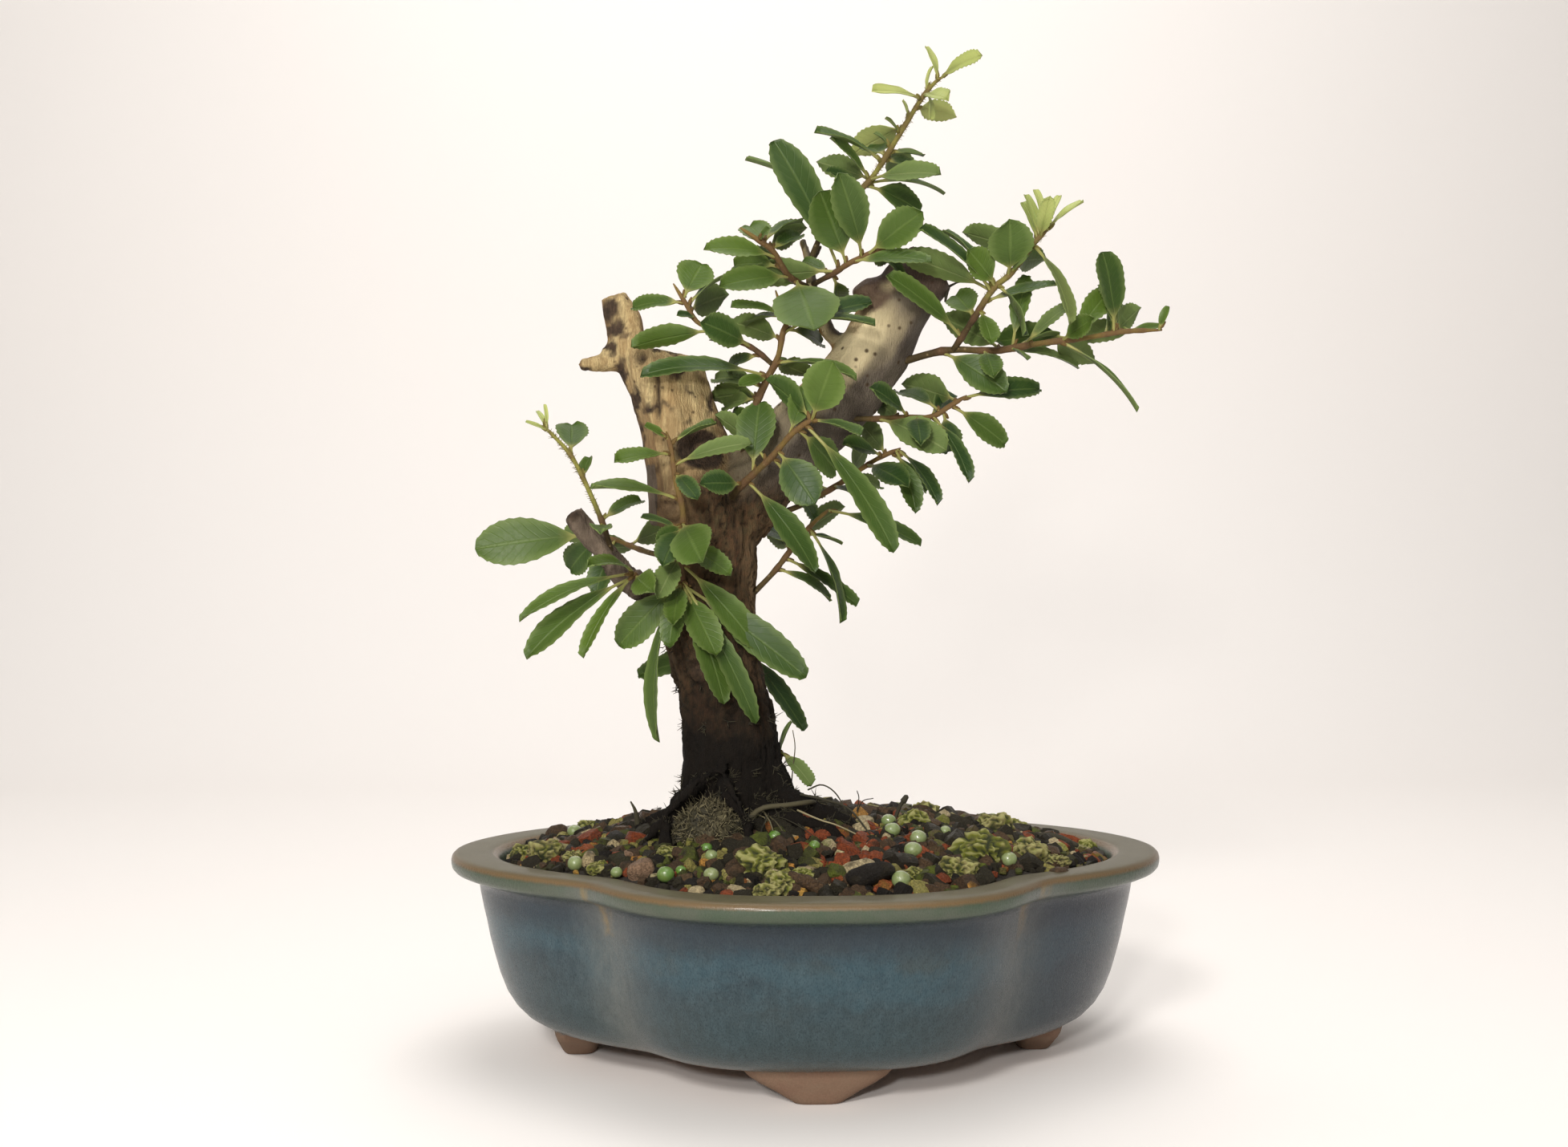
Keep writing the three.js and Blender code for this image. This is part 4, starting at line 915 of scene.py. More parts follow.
def pot_shell():
    """The bowl, the rim and the inside as one closed shell"""
    first, last = POT_PROFILE[0], POT_PROFILE[-1]
    levels = [(0, *first), (0.55, *first), *((1, *row) for row in POT_PROFILE), (0.5, *last),
              (0, *last)]

    def place(u, v):
        share, half, height = levels[round(v * (len(levels) - 1))]
        angle = 2 * math.pi * u
        radius = share * outline(angle, half) * INSIDE
        return radius * math.cos(angle), radius * math.sin(angle), height

    return wrapped("pot_glazed", POT_AROUND, len(levels) - 1, place)


def foot(name, half_top, half_sole, reach, turn):
    """One clay foot: a block that narrows in a soft curve to its rounded sole"""
    # Each level is its height, half its width and its share of the foot's depth
    levels = [(0, 0, 0.6), (0, half_sole, 0.6)]
    for height, share, taper in FOOT_CURVE:
        levels.append((height, half_sole + share * (half_top - half_sole), taper))
    levels += [(7.1, half_top, 1), (FOOT_TOP, half_top, 1), (FOOT_TOP, 0, 1)]
    half_depth = FOOT_DEPTH / 2
    corner = 0.5

    def place(u, v):
        height, half, taper = levels[round(v * (len(levels) - 1))]
        angle = 2 * math.pi * u
        x = math.copysign(abs(math.cos(angle)) ** corner, math.cos(angle)) * half
        y = math.copysign(abs(math.sin(angle)) ** corner, math.sin(angle)) * half_depth * taper
        y = (y if half else 0) - reach + half_depth
        return (x * math.cos(turn) - y * math.sin(turn),
                x * math.sin(turn) + y * math.cos(turn), height)

    return wrapped(name, 64, len(levels) - 1, place)


def glaze_material(settings):
    """Mottled glossy glaze that thins at the rim and the valleys, over bare clay feet, with painted
    shade under the rim and on the right side, and a paler lower body that is partly a painted
    reflection of the floor
    """
    material, tree, shader = new_material("Mottled glaze")
    height, valley = height_mm(tree), marked(tree, "valley")
    broad = mottled(tree, 22.0, 0.6, 0.14)
    patches = mottled(tree, 9.0, 0.7, 0.16)
    streaks = mottled(tree, 1.5, 2.6)
    iron = mottled(tree, 5.0, 3.0, 0.1)
    sandy = mottled(tree, 2.4, 1.0, 0.25)
    # Heights made uneven, so that no band ends in a straight line
    cloudy = plus(tree, height, times(tree, patches["Mask"], 7.0))
    cloudy = plus(tree, cloudy, times(tree, broad["Mask"], 6.0))
    wavy = plus(tree, height, times(tree, patches["Flecks"], 0.9))
    near = plus(tree, height, times(tree, streaks["Mask"], 0.25))
    bright = times(tree, ranged(tree, cloudy, 29, 34), ranged(tree, cloudy, 36, 41, 0.6, 0))
    grit = times(tree, streaks["Flecks"], streaks["Mask"])
    band = mixed(tree, patches["Mask"], settings.glaze_green, (0.07, 0.082, 0.058))
    iron_spot = times(tree, iron["Mask"], ranged(tree, valley, 0.9, 1.0, 0, 0.8))
    rim = layered(
        tree, settings.rim,
        (streaks["Mask"], scaled(settings.rim, 0.75)),
        (patches["Mask"], 0.6, (0.118, 0.104, 0.06)),
    )
    clay = layered(
        tree, settings.clay,
        (sandy["Flecks"], scaled(settings.clay, 0.7)),
        (patches["Mask"], 0.4, (0.19, 0.145, 0.095)),
        (dotted(tree, 5.5, 0.12)["Mask"], 0.7, (0.03, 0.012, 0.01)),
    )
    bare = maths(tree, "MAXIMUM", ranged(tree, wavy, 7.5, 8.0, 1, 0), marked(tree, "inside"))
    tone = layered(
        tree, settings.glaze,
        (broad["Mask"], settings.glaze_light),
        (patches["Mask"], 0.6, (0.04, 0.052, 0.05)),
        (bright, (0.028, 0.068, 0.088)),
        # Greyer, paler glaze low on the body: the glaze's own tone, with a painted reflection of
        # the floor
        (ranged(tree, cloudy, 15, 30, 0.65, 0), (0.042, 0.059, 0.057)),
        (grit, 0.55, (0.075, 0.115, 0.13)),
        (ranged(tree, streaks["Flecks"], 0, 0.5, 0.45, 0), scaled(settings.glaze, 0.55)),
        # Painted shade: the glaze turns darker from below the rim's overhang up to the green band
        (ranged(tree, wavy, 30.5, 35.5, 0, 0.7), (0.018, 0.025, 0.034)),
        (ranged(tree, wavy, 38.6, 40.4), band),
        (ranged(tree, wavy, 8, 11, 0.55, 0), (0.12, 0.135, 0.125)),
        (valley, ranged(tree, streaks["Mask"], 0, 1, 0.4, 0.75), (0.125, 0.13, 0.118)),
        (iron_spot, ranged(tree, cloudy, 38, 44), (0.3, 0.19, 0.05)),
        (ranged(tree, near, 42.2, 42.8, 0, 0.9), (0.15, 0.095, 0.045)),
        (marked(tree, "rim_top"), rim),
        # Painted shade: darker, more violet glaze on the right side, turned away from the light;
        # strong on the body, faint on the band
        (marked(tree, "right_side_shade"), ranged(tree, wavy, 38, 39, 0.6, 0.1), (0.022, 0.024, 0.034)),
        (bare, clay),
    )
    gloss = ranged(tree, streaks["Flecks"], 0, 1, 0.22, 0.36)
    gloss = plus(tree, gloss, times(tree, marked(tree, "rim_top"), 0.22))
    feed(tree, shader, {
        "Base Color": tone,
        "Roughness": step(tree, "Mix", {0: bare, 2: gloss, 3: 0.85}, data_type="FLOAT").outputs[0],
        "Specular IOR Level": 0.22,
        "Coat Weight": ranged(tree, bare, 0, 1, 0.15, 0),
        "Coat Roughness": 0.14,
    })
    bumped(tree, shader, streaks["Flecks"], 0.03)
    return material


class BONSAI_OT_pot(bpy.types.Operator):
    """Makes the glazed pot with its clay feet and drain holes"""

    bl_idname = "bonsai.pot"
    bl_label = "Pot"

    def execute(self, context):
        settings = context.scene.bonsai_pot
        pot = pot_shell()
        for name, measures, turn in (
            ("foot_front", FRONT_FOOT, 0), ("foot_back", FRONT_FOOT, math.pi),
            ("foot_right", SIDE_FOOT, math.pi / 2), ("foot_left", SIDE_FOOT, -math.pi / 2),
        ):
            combined(pot, foot(name, *measures, turn), "UNION")
        for x in DRAIN_SPOTS:
            deselect()
            bpy.ops.mesh.primitive_cylinder_add(
                vertices=48, radius=DRAIN_RADIUS * MM, depth=0.02, location=(x * MM, 0, 0.01)
            )
            drain = bpy.context.object
            bpy.ops.object.transform_apply()
            combined(pot, drain)
        points = points_of(pot)
        radius = np.hypot(points[:, 0], points[:, 1])
        # The valleys lie where two lobes meet, on the outside of the wall
        pairs = [lobes(math.atan2(y, x), 70) for x, y in points[:, :2]]
        meeting = np.array([sides - fronts for sides, fronts in pairs])
        outer = np.array([max(pair) for pair in pairs]) * 0.97 - 3
        side_wall = smoothstep(radius, outer * 0.82, outer * 0.9)
        paint(pot, "valley", np.exp(-((meeting / 5) ** 2)) * side_wall)
        # Painted shade on the right side of the pot, turned away from the light
        paint(pot, "right_side_shade", smoothstep(points[:, 0], 22, 58))
        paint(pot, "rim_top", smoothstep(points[:, 2], 43.3, 43.5))
        # Clay is left bare on the inside, under the soil
        heights, halves = zip(*INNER_WALL)
        wall = np.array([
            outline(math.atan2(y, x), np.interp(z, heights, halves) + 1.5) for x, y, z in points
        ])
        inside = (radius < wall) & (points[:, 2] > 11.5) & (points[:, 2] < 38)
        paint(pot, "inside", inside.astype(float))
        finished(pot, glaze_material(settings), ["pot"])
        return {"FINISHED"}


def screen_material():
    """Black plastic mesh, dusty with soil"""
    material, tree, shader = new_material("Screen plastic")
    dust = mottled(tree, 4.0)["Mask"]
    feed(tree, shader, {
        "Base Color": mixed(tree, dust, (0.012, 0.012, 0.012), (0.05, 0.04, 0.03)),
        "Roughness": ranged(tree, dust, 0, 1, 0.45, 0.8),
    })
    return material


class BONSAI_OT_screens(bpy.types.Operator):
    """Gives the drain screens their plastic"""

    bl_idname = "bonsai.screens"
    bl_label = "Drain Screens"

    def execute(self, context):
        material = screen_material()
        for name in ("drain_screen_left", "drain_screen_right"):
            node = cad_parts[name]
            node.data.materials.clear()
            node.data.materials.append(material)
        return {"FINISHED"}


# The soil


def soil_height(x, y):
    """Height of the heaped soil at a place"""
    across = min(1.0, math.hypot(x / SOIL_REACH[0], y / SOIL_REACH[1]))
    mound_x, mound_y, rise, spread = MOUND
    gap = math.hypot(x - mound_x, y - mound_y) / spread
    return SOIL_EDGE + SOIL_CROWN * (1 - across**2) + rise * math.exp(-gap * gap)


def soil_bed():
    """The fine earth under the grains, closed down to the floor of the pot"""
    rows = len(BED_BELOW) + BED_RINGS

    def place(u, v):
        row = round(v * rows)
        angle = 2 * math.pi * u
        if row < len(BED_BELOW):
            half, height = BED_BELOW[row]
            share = min(1, half / FLOOR_HALF)
            radius = share * outline(angle, max(half, FLOOR_HALF))
            return radius * math.cos(angle), radius * math.sin(angle), height
        radius = (rows - row) / BED_RINGS * outline(angle, BED_HALF)
        x, y = radius * math.cos(angle), radius * math.sin(angle)
        rough = 0.9 * noise.noise((x / 3.1, y / 3.1, 4)) + 0.6 * noise.noise((x / 7, y / 7, 9))
        return x, y, soil_height(x, y) - 0.6 + rough

    return wrapped("soil_bed", 200, rows, place)


def chunk(seed):
    """One rough grain of unit size: a cube cut once, rounded off and knocked about"""
    rough = 0.7
    deselect()
    bpy.ops.mesh.primitive_cube_add(size=1)
    bpy.ops.object.mode_set(mode="EDIT")
    bpy.ops.mesh.select_all(action="SELECT")
    bpy.ops.mesh.subdivide(number_cuts=1)
    bpy.ops.object.mode_set(mode="OBJECT")
    obj = bpy.context.object
    for vertex in obj.data.vertices:
        round_point = vertex.co.normalized() * 0.5
        point = vertex.co.lerp(round_point, 0.45 + 0.12 * (seed % 3))
        vertex.co = point * (1 + rough * noise.noise(vertex.co * 2.1 + Vector((seed, 0, 3))))
    tidy_shell(obj)
    return template(obj)


def turned(draws):
    """A random rotation from three draws"""
    a, b, c = (2 * math.pi * d for d in draws)
    ca, sa, cb, sb, cc, sc = (math.cos(a), math.sin(a), math.cos(b), math.sin(b), math.cos(c),
                              math.sin(c))
    return np.array([
        [ca * cb, ca * sb * sc - sa * cc, ca * sb * cc + sa * sc],
        [sa * cb, sa * sb * sc + ca * cc, sa * sb * cc - ca * sc],
        [-sb, cb * sc, cb * cc],
    ])


def scattered(spacing, rng, clear):
    """Places spread evenly but loosely inside the pot's wall"""
    spots = []
    row_gap = 0.87 * spacing
    loose = 0.42 * spacing
    for row in range(int(2 * GRAIN_REACH / row_gap) + 1):
        for column in range(int(2 * GRAIN_REACH / spacing) + 1):
            x = -GRAIN_REACH + (column + 0.5 * (row % 2)) * spacing + loose * rng.uniform(-1, 1)
            y = -GRAIN_REACH + row * row_gap + loose * rng.uniform(-1, 1)
            in_wall = math.hypot(x, y) <= outline(math.atan2(y, x), GRAIN_HALF) - clear
            if in_wall and math.hypot(x - MOUND[0], y - MOUND[1]) >= TRUNK_CLEAR:
                spots.append((x, y))
    return spots


# Kinds of grain and their colours, and how many of each go into a hundred
KINDS = {
    "dark": (0.026, 0.022, 0.012), "brown": (0.085, 0.05, 0.026), "red": (0.27, 0.06, 0.02),
    "orange": (0.55, 0.25, 0.05), "yellow": (0.3, 0.26, 0.07), "pale": (0.55, 0.43, 0.23),
    "pink": (0.31, 0.19, 0.115), "black": (0.012, 0.01, 0.008),
}
SHARES = {"dark": 44, "brown": 24, "black": 10, "yellow": 6, "pale": 6, "orange": 2, "red": 8}
GRAIN_SHAPES = 6
MIX = [kind for kind, count in SHARES.items() for k in range(count)]


def grain_kind(x, y, rng):
    """The kind of a loose grain: a draw from the mix, with more red near one spot"""
    gap = math.hypot(x - RED_SPOT[0], y - RED_SPOT[1]) / RED_SPOT[2]
    red = rng.random() < 0.5 * math.exp(-gap * gap)
    kind = rng.choice(MIX)
    return "red" if red else kind


def grains(name, spots, sizes, kinds, shapes, rng, sink, longs=None):
    """Copies the grain shapes to the spots, as one piece with a colour kind for each grain"""
    heap = Heap()
    for k, ((x, y), size, kind) in enumerate(zip(spots, sizes, kinds)):
        points, faces = shapes[rng.randrange(len(shapes))]
        stretch = drawn(rng, (0.8, 1.15), (0.75, 1.05), (0.6, 0.9))
        turn = turned([rng.random(), 0.08 * rng.uniform(-1, 1), rng.random() * 0.15])
        height = soil_height(x, y) - sink * size + rng.uniform(0, 0.3) * size
        copied = (points * stretch * size) @ turn.T
        if longs and longs[k][0] > 1:
            lean = math.radians(longs[k][1])
            copied[:, 0] *= longs[k][0]
            copied[:, 2] += math.tan(lean) * copied[:, 0]
        heap.add((copied + np.array([x, y, height]), faces),
                 kind=(list(KINDS).index(kind) + 0.5) / len(KINDS),
                 tone=rng.random() * (0.7 if longs else 1), pit=0)
    return heap.piece(name)


def grain_material():
    """Lava, pumice, clay and pine grains, each in its own tone, rough, pitted and damp, with
    painted shade in the pits of the stones
    """
    material, tree, shader = new_material("Gritty grains")
    stops = [(k / len(KINDS), tone) for k, tone in enumerate(KINDS.values())]
    base = ramp(tree, marked(tree, "kind"), stops, "CONSTANT")
    mottle = mottled(tree, 2.6, 1.0, 0.16)
    tone = marked(tree, "tone")
    grains_tone = layered(
        tree, mixed(tree, ranged(tree, tone, 0, 1, 0.0, 0.6), base, base, "SCREEN"),
        (mottle["Flecks"], 0.65, (0.016, 0.013, 0.01)),
        (ranged(tree, tone, 0.8, 0.92, 0, 0.8), mottle["Mask"], (0.13, 0.16, 0.02)),
        # Painted shade in the stones' pits
        (marked(tree, "pit"), 0.9, (0.03, 0.024, 0.014)),
    )
    feed(tree, shader, {
        "Base Color": grains_tone,
        "Roughness": ranged(tree, mottle["Mask"], 0, 1, 0.3, 0.85),
        "Specular IOR Level": 0.22,
    })
    bumped(tree, shader, mottle["Flecks"], 0.3)
    return material


def earth_material(settings):
    """Fine dark earth"""
    material, tree, shader = new_material("Fine earth")
    flecks = mottled(tree, 3.0)["Flecks"]
    feed(tree, shader, {
        "Base Color": mixed(tree, flecks, settings.earth, scaled(settings.earth, 3)),
        "Roughness": 0.95,
    })
    bumped(tree, shader, flecks, 0.5)
    return material


class BONSAI_OT_soil(bpy.types.Operator):
    """Fills the pot with earth, loose grains and a few larger stones"""

    bl_idname = "bonsai.soil"
    bl_label = "Soil"

    def execute(self, context):
        settings = context.scene.bonsai_soil
        rng = random.Random(settings.seed)
        finished(soil_bed(), earth_material(settings), ["soil"])
        shapes = [chunk(seed) for seed in range(GRAIN_SHAPES)]
        material = grain_material()
        grain = settings.grain / MM
        layers = [
            ("soil_crumbs", grain * 0.62, (1.2, 2.3), 0.1),
            ("soil_grains", grain, (2.4, 4.2), 0.15),
            ("soil_lumps", grain * 1.9, (3.8, 6.0), 0.25),
        ]
        for name, spacing, (low, high), sink in layers:
            spots = scattered(spacing, rng, clear=0.3 * high)
            sizes = [rng.uniform(low, high) for spot in spots]
            kinds = [grain_kind(x, y, rng) for x, y in spots]
            piece = grains(name, spots, sizes, kinds, shapes, rng, sink)
            finished(piece, material, ["soil"], angle=40)
        spots, sizes, kinds = ([stone[k] for stone in STONES] for k in (slice(2), 2, 3))
        longs = [stone[4:] or (1, 0) for stone in STONES]
        stones = grains("stones", spots, sizes, kinds, shapes, rng, 0.02, longs)
        apply_modifier(stones, "SUBSURF", levels=2, render_levels=2)
        points = points_of(stones)
        broad, sharp = noise_at(points, 2.6, 1), noise_at(points, 0.8, 2)
        push = 0.5 * broad + 0.16 * sharp
        move_points(stones, points + normals_of(stones) * push[:, None])
        # Painted shade: dark spots stand for the shade in the stones' pits
        paint(stones, "pit", smoothstep(noise_at(points, 1.7, 3), 0.12, 0.4) * 0.75)
        finished(stones, material, ["soil"])
        return {"FINISHED"}


def pellet_material(settings):
    """Waxy pellets from cream to bright green, a little see-through"""
    material, tree, shader = new_material("Waxy pellet")
    mottle = mottled(tree, 2.2)
    feed(tree, shader, {
        "Base Color": layered(
            tree, settings.pellet,
            (marked(tree, "tone"), (0.07, 0.2, 0.015)),
            (mottle["Mask"], 0.5, (0.2, 0.22, 0.07)),
        ),
        "Roughness": 0.24,
        "Subsurface Weight": 0.45,
        "Subsurface Radius": (0.0012, 0.0014, 0.0005),
        "Coat Weight": 0.6,
        "Coat Roughness": 0.08,
    })
    bumped(tree, shader, mottle["Flecks"], 0.05)
    return material


class BONSAI_OT_pellets(bpy.types.Operator):
    """Lays round feed pellets on the soil"""

    bl_idname = "bonsai.pellets"
    bl_label = "Feed Pellets"

    def execute(self, context):
        settings = context.scene.bonsai_soil
        rng = random.Random(settings.seed + 1)
        points, faces = template(ball(3, 0.5))
        heap = Heap()
        for seed, (x, y, size, green) in enumerate(PELLETS):
            squash = np.array([1, rng.uniform(0.9, 1.0), rng.uniform(0.82, 0.95)]) * 0.95 * size
            lumpy = 1 + 0.05 * noise_at(points, 0.35, seed=seed + 1)[:, None]
            place = np.array([x, y, soil_height(x, y) + 0.42 * size])
            heap.add((points * lumpy * squash + place, faces), tone=green)
        finished(heap.piece("feed_pellets"), pellet_material(settings), ["soil"])
        return {"FINISHED"}


# Moss and fine roots


def moss_material(settings):
    """Knobbly pumice: cream knobs with a painted highlight on their tops, moss-green patches, and
    painted shade in the gaps between the knobs
    """
    material, tree, shader = new_material("Mossy pumice")
    mottle = mottled(tree, 1.5, 1.0, 0.15)
    cover = plus(tree, marked(tree, "green"), mottle["Mask"])
    tip = marked(tree, "tip")
    grown = layered(
        tree, (0.5, 0.42, 0.15),
        (ranged(tree, cover, 0.5, 1.2), settings.moss),
        (mottle["Flecks"], 0.35, (0.12, 0.11, 0.03)),
        # Painted highlight on the tops of the knobs, over the cream of the pumice
        (ranged(tree, tip, 0.6, 1.0, 0, 0.8), (0.8, 0.76, 0.3)),
    )
    feed(tree, shader, {
        # Painted shade: near black in the gaps between the knobs
        "Base Color": mixed(tree, ranged(tree, tip, 0.05, 0.6), (0.045, 0.055, 0.012), grown),
        "Roughness": 0.8,
    })
    bumped(tree, shader, mottle["Flecks"], 0.45)
    return material


def fibre_material():
    """Fine roots and dry moss, from dark brown to pale tan"""
    material, tree, shader = new_material("Fine roots")
    tone = ramp(tree, marked(tree, "tip"), [
        (0, (0.012, 0.01, 0.006)), (0.5, (0.09, 0.075, 0.035)), (1, (0.4, 0.34, 0.19)),
    ])
    feed(tree, shader, {
        "Base Color": layered(tree, tone, (mottled(tree, 3.0)["Mask"], 0.3, (0.04, 0.038, 0.016))),
        "Roughness": 0.85,
    })
    return material


def knobbly(x, y, size, seed):
    """One pumice lump half sunk in the soil, with knobs all over"""
    points, faces = template(ball(4))
    radius = size / 2
    cell = 1.5 / max(radius, 1.8)
    lobe = np.array([noise.voronoi(p)[0][0] for p in (points / cell + seed * 3.7).tolist()])
    knobs = np.sqrt(np.clip(1 - (lobe / 0.85) ** 2, 0, 1))
    swell = 0.5 * noise_at(points, 0.95, seed=seed + 1)
    rough = noise_at(points, 0.26, seed=seed) + noise_at(points, 0.12, seed=seed + 2)
    lumps = swell + 0.2 * (knobs - 0.7) + 0.2 * rough
    shaped = points * (1 + lumps[:, None]) * radius * np.array([1.12, 0.95, 0.85])
    shaped += np.array([x, y, soil_height(x, y) + 0.3 * radius])
    # The second value is high on the knobs' tops and low in the gaps, for the painted highlight and
    # the painted shade
    return (shaped, faces), smoothstep(0.3 * knobs + 1.4 * rough + 0.3 * swell, -0.45, 0.9)


def tufts(threads, rng, width):
    """Short tapering threads with their paleness, from the root, way and length of each"""
    made = []
    for root, way, length in threads:
        stray = 0.3 * length * drawn(rng, (-1, 1), (-1, 1), (-1, 1))
        middle = root + way * length * 0.5 + stray * 0.4
        line = np.array([root - way * 0.3, middle, root + way * length + stray])
        tone = rng.uniform(0.4, 1)
        tips = np.array([0.15] * 3 + [0.75 * tone] * 3 + [tone] * 3 + [0.15, tone])
        made.append((tube(line, [width, width * 0.7, width * 0.25], 3), tips))
    return made


class BONSAI_OT_moss(bpy.types.Operator):
    """Lays mossy pumice lumps, the hummock of fine roots, and loose roots and fibres"""

    bl_idname = "bonsai.moss"
    bl_label = "Moss and Fine Roots"

    def lumps(self, settings):
        """The mossy pumice lumps, as one piece"""
        heap = Heap()
        for seed, (x, y, size, green) in enumerate(LUMPS):
            part, tip = knobbly(x, y, size, seed)
            heap.add(part, tip=tip, green=green)
        finished(heap.piece("mossy_lumps"), moss_material(settings), ["soil"])

    def hummock(self, fibres, rng):
        """The mound against the trunk, with fine fibres standing on its front"""
        points, faces = template(ball(5))
        lumps = 0.24 * noise_at(points, 0.6, seed=3) + 0.12 * noise_at(points, 0.16, seed=5)
        radii = np.array(MOSS_RADII)
        centre = np.array(MOSS_CENTRE)
        body = points * (0.93 + lumps[:, None]) * radii + centre
        heap = Heap()
        heap.add((body, faces), tip=smoothstep(lumps, -0.1, 0.3) * 0.6)
        # Fibres stand only on its open front
        seen = [p for p in body if p[2] > 46 and p[1] < -14]
        threads = []
        for k in range(HUMMOCK_FIBRES):
            root = seen[rng.randrange(len(seen))]
            out = unit((root - centre) / radii)
            way = unit(0.45 * out + drawn(rng, (-1, 1), (-0.6, 0.2), (-1, 1)))
            threads.append((root, way, rng.uniform(0.8, 2.6)))
        for part, tip in tufts(threads, rng, width=0.13):
            heap.add(part, tip=tip)
        finished(heap.piece("moss_and_roots"), fibres, ["moss_clump"])

    def threads(self, fibres, rng):
        """The single roots and twigs, and loose roots round the foot of the trunk"""
        heap = Heap()
        for path, radii, tone in THREADS:
            line = smooth_line(path, THREAD_POINTS)
            heap.add(tube(line, np.linspace(*radii, THREAD_POINTS), sides=6), tip=tone)
        for k in range(LOOSE_ROOTS):
            angle = math.radians(rng.uniform(-95, 40))
            start = rng.uniform(8, 13)
            reach = rng.uniform(6, 17)
            drift = rng.uniform(-0.5, 0.5)
            hump = rng.uniform(0.2, 2.2)
            line = []
            for t in np.linspace(0, 1, ROOT_POINTS):
                radius = start + reach * t
                x = MOUND[0] + 1 + radius * math.cos(angle + drift * t)
                y = MOUND[1] + radius * math.sin(angle + drift * t)
                lift = 2.2 * (1 - t) + hump * math.sin(math.pi * t) - 0.3
                line.append((x, y, soil_height(x, y) + lift + rng.uniform(-0.2, 0.2)))
            thick = rng.uniform(0.09, 0.28)
            heap.add(tube(line, np.linspace(thick, thick * 0.5, ROOT_POINTS), sides=4),
                     tip=0.65 * rng.random() ** 2)
        finished(heap.piece("roots_and_twigs"), fibres, ["trunk"])

    def hairs(self, fibres, rng):
        """Short fibres on the lower trunk, fewer with height"""
        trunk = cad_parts["trunk"]
        points, normals = points_of(trunk), normals_of(trunk)
        low = [k for k in range(len(points)) if 49 < points[k][2] < 96]
        threads = []
        for k in range(BARK_FIBRES):
            pick = low[rng.randrange(len(low))]
            if rng.random() < (points[pick][2] - 50) / 48:
                continue
            sink = rng.uniform(-1.2, 1.2)
            root = points[pick] + np.array([sink, sink, rng.uniform(-1.5, 1.5)]) * 0.5
            way = unit(normals[pick] + 0.7 * drawn(rng, (-1, 1), (-1, 1), (-1.2, 1)))
            threads.append((root, way, rng.uniform(0.6, 1.9)))
        heap = Heap()
        for part, tip in tufts(threads, rng, width=0.12):
            heap.add(part, tip=0.35 * tip)
        finished(heap.piece("trunk_fibres"), fibres, ["trunk"])

    def execute(self, context):
        settings = context.scene.bonsai_soil
        rng = random.Random(settings.seed + 2)
        fibres = fibre_material()
        self.lumps(settings)
        self.hummock(fibres, rng)
        self.threads(fibres, rng)
        self.hairs(fibres, rng)
        return {"FINISHED"}


# The trunk


def trunk_masks(points, normals):
    """Where the bare wood, the smooth limb, the dark stains and the painted shade of the hollow
    lie, from 0 to 1
    """
    x, _, z = points.T
    trunk_gap = distance_to(points, TRUNK_PATH)[0]
    wood_gap = distance_to(points, DEADWOOD_PATH)[0]
    limb_gap, limb_share = distance_to(points, LIMB_PATH)
    # The limb starts above the fork, and the bare wood is all else up there
    limb = smoothstep(wood_gap - limb_gap, -2, 3) * smoothstep(z, 117, 128)
    limb *= smoothstep(trunk_gap - limb_gap, -1, 3)
    ragged = 5 * noise_at(points, 9, 1)
    left = smoothstep(-x, 22, 31)
    wood = (1 - limb) * smoothstep(z + ragged + 17 * left, 121, 128)
    # A streak of bare wood runs down the front of the trunk
    front = smoothstep(-normals[:, 1], -0.1, 0.4)
    streak = np.exp(-(((x + 27 + 0.12 * (z - 110)) / 3.2) ** 2)) * front
    wood = np.maximum(wood, (1 - limb) * streak * smoothstep(z + ragged, 98, 112) * 0.8)
    # Painted shade inside the hollow in the fork
    inside = np.linalg.norm((points - np.array(HOLLOW[0])) / HOLLOW[1], axis=1)
    hollow = 1 - smoothstep(inside, 1.0, 1.16)
    # Stains with uneven edges
    across = x + 1.5 * noise_at(points, 2.4, 2) + 0.7 * noise_at(points, 0.9, 3)
    upward = z + 1.5 * noise_at(points, 2.4, 4) + 0.7 * noise_at(points, 0.9, 5)
    dark = np.zeros(len(points))
    for sx, sz, wide, tall in STAINS:
        gap = np.hypot((across - sx) / wide, (upward - sz) / tall)
        dark = np.maximum(dark, 1 - smoothstep(gap, 0.55, 1.25))
    dark *= smoothstep(-normals[:, 1], -0.5, 0.1)
    dark = np.maximum(dark, smoothstep(noise_at(points, 2.6, 9), 0.42, 0.55) * 0.7) * wood
    # The dark mark holds the stains and the painted shade of the hollow
    return wood, limb, np.maximum(dark, hollow), limb_share


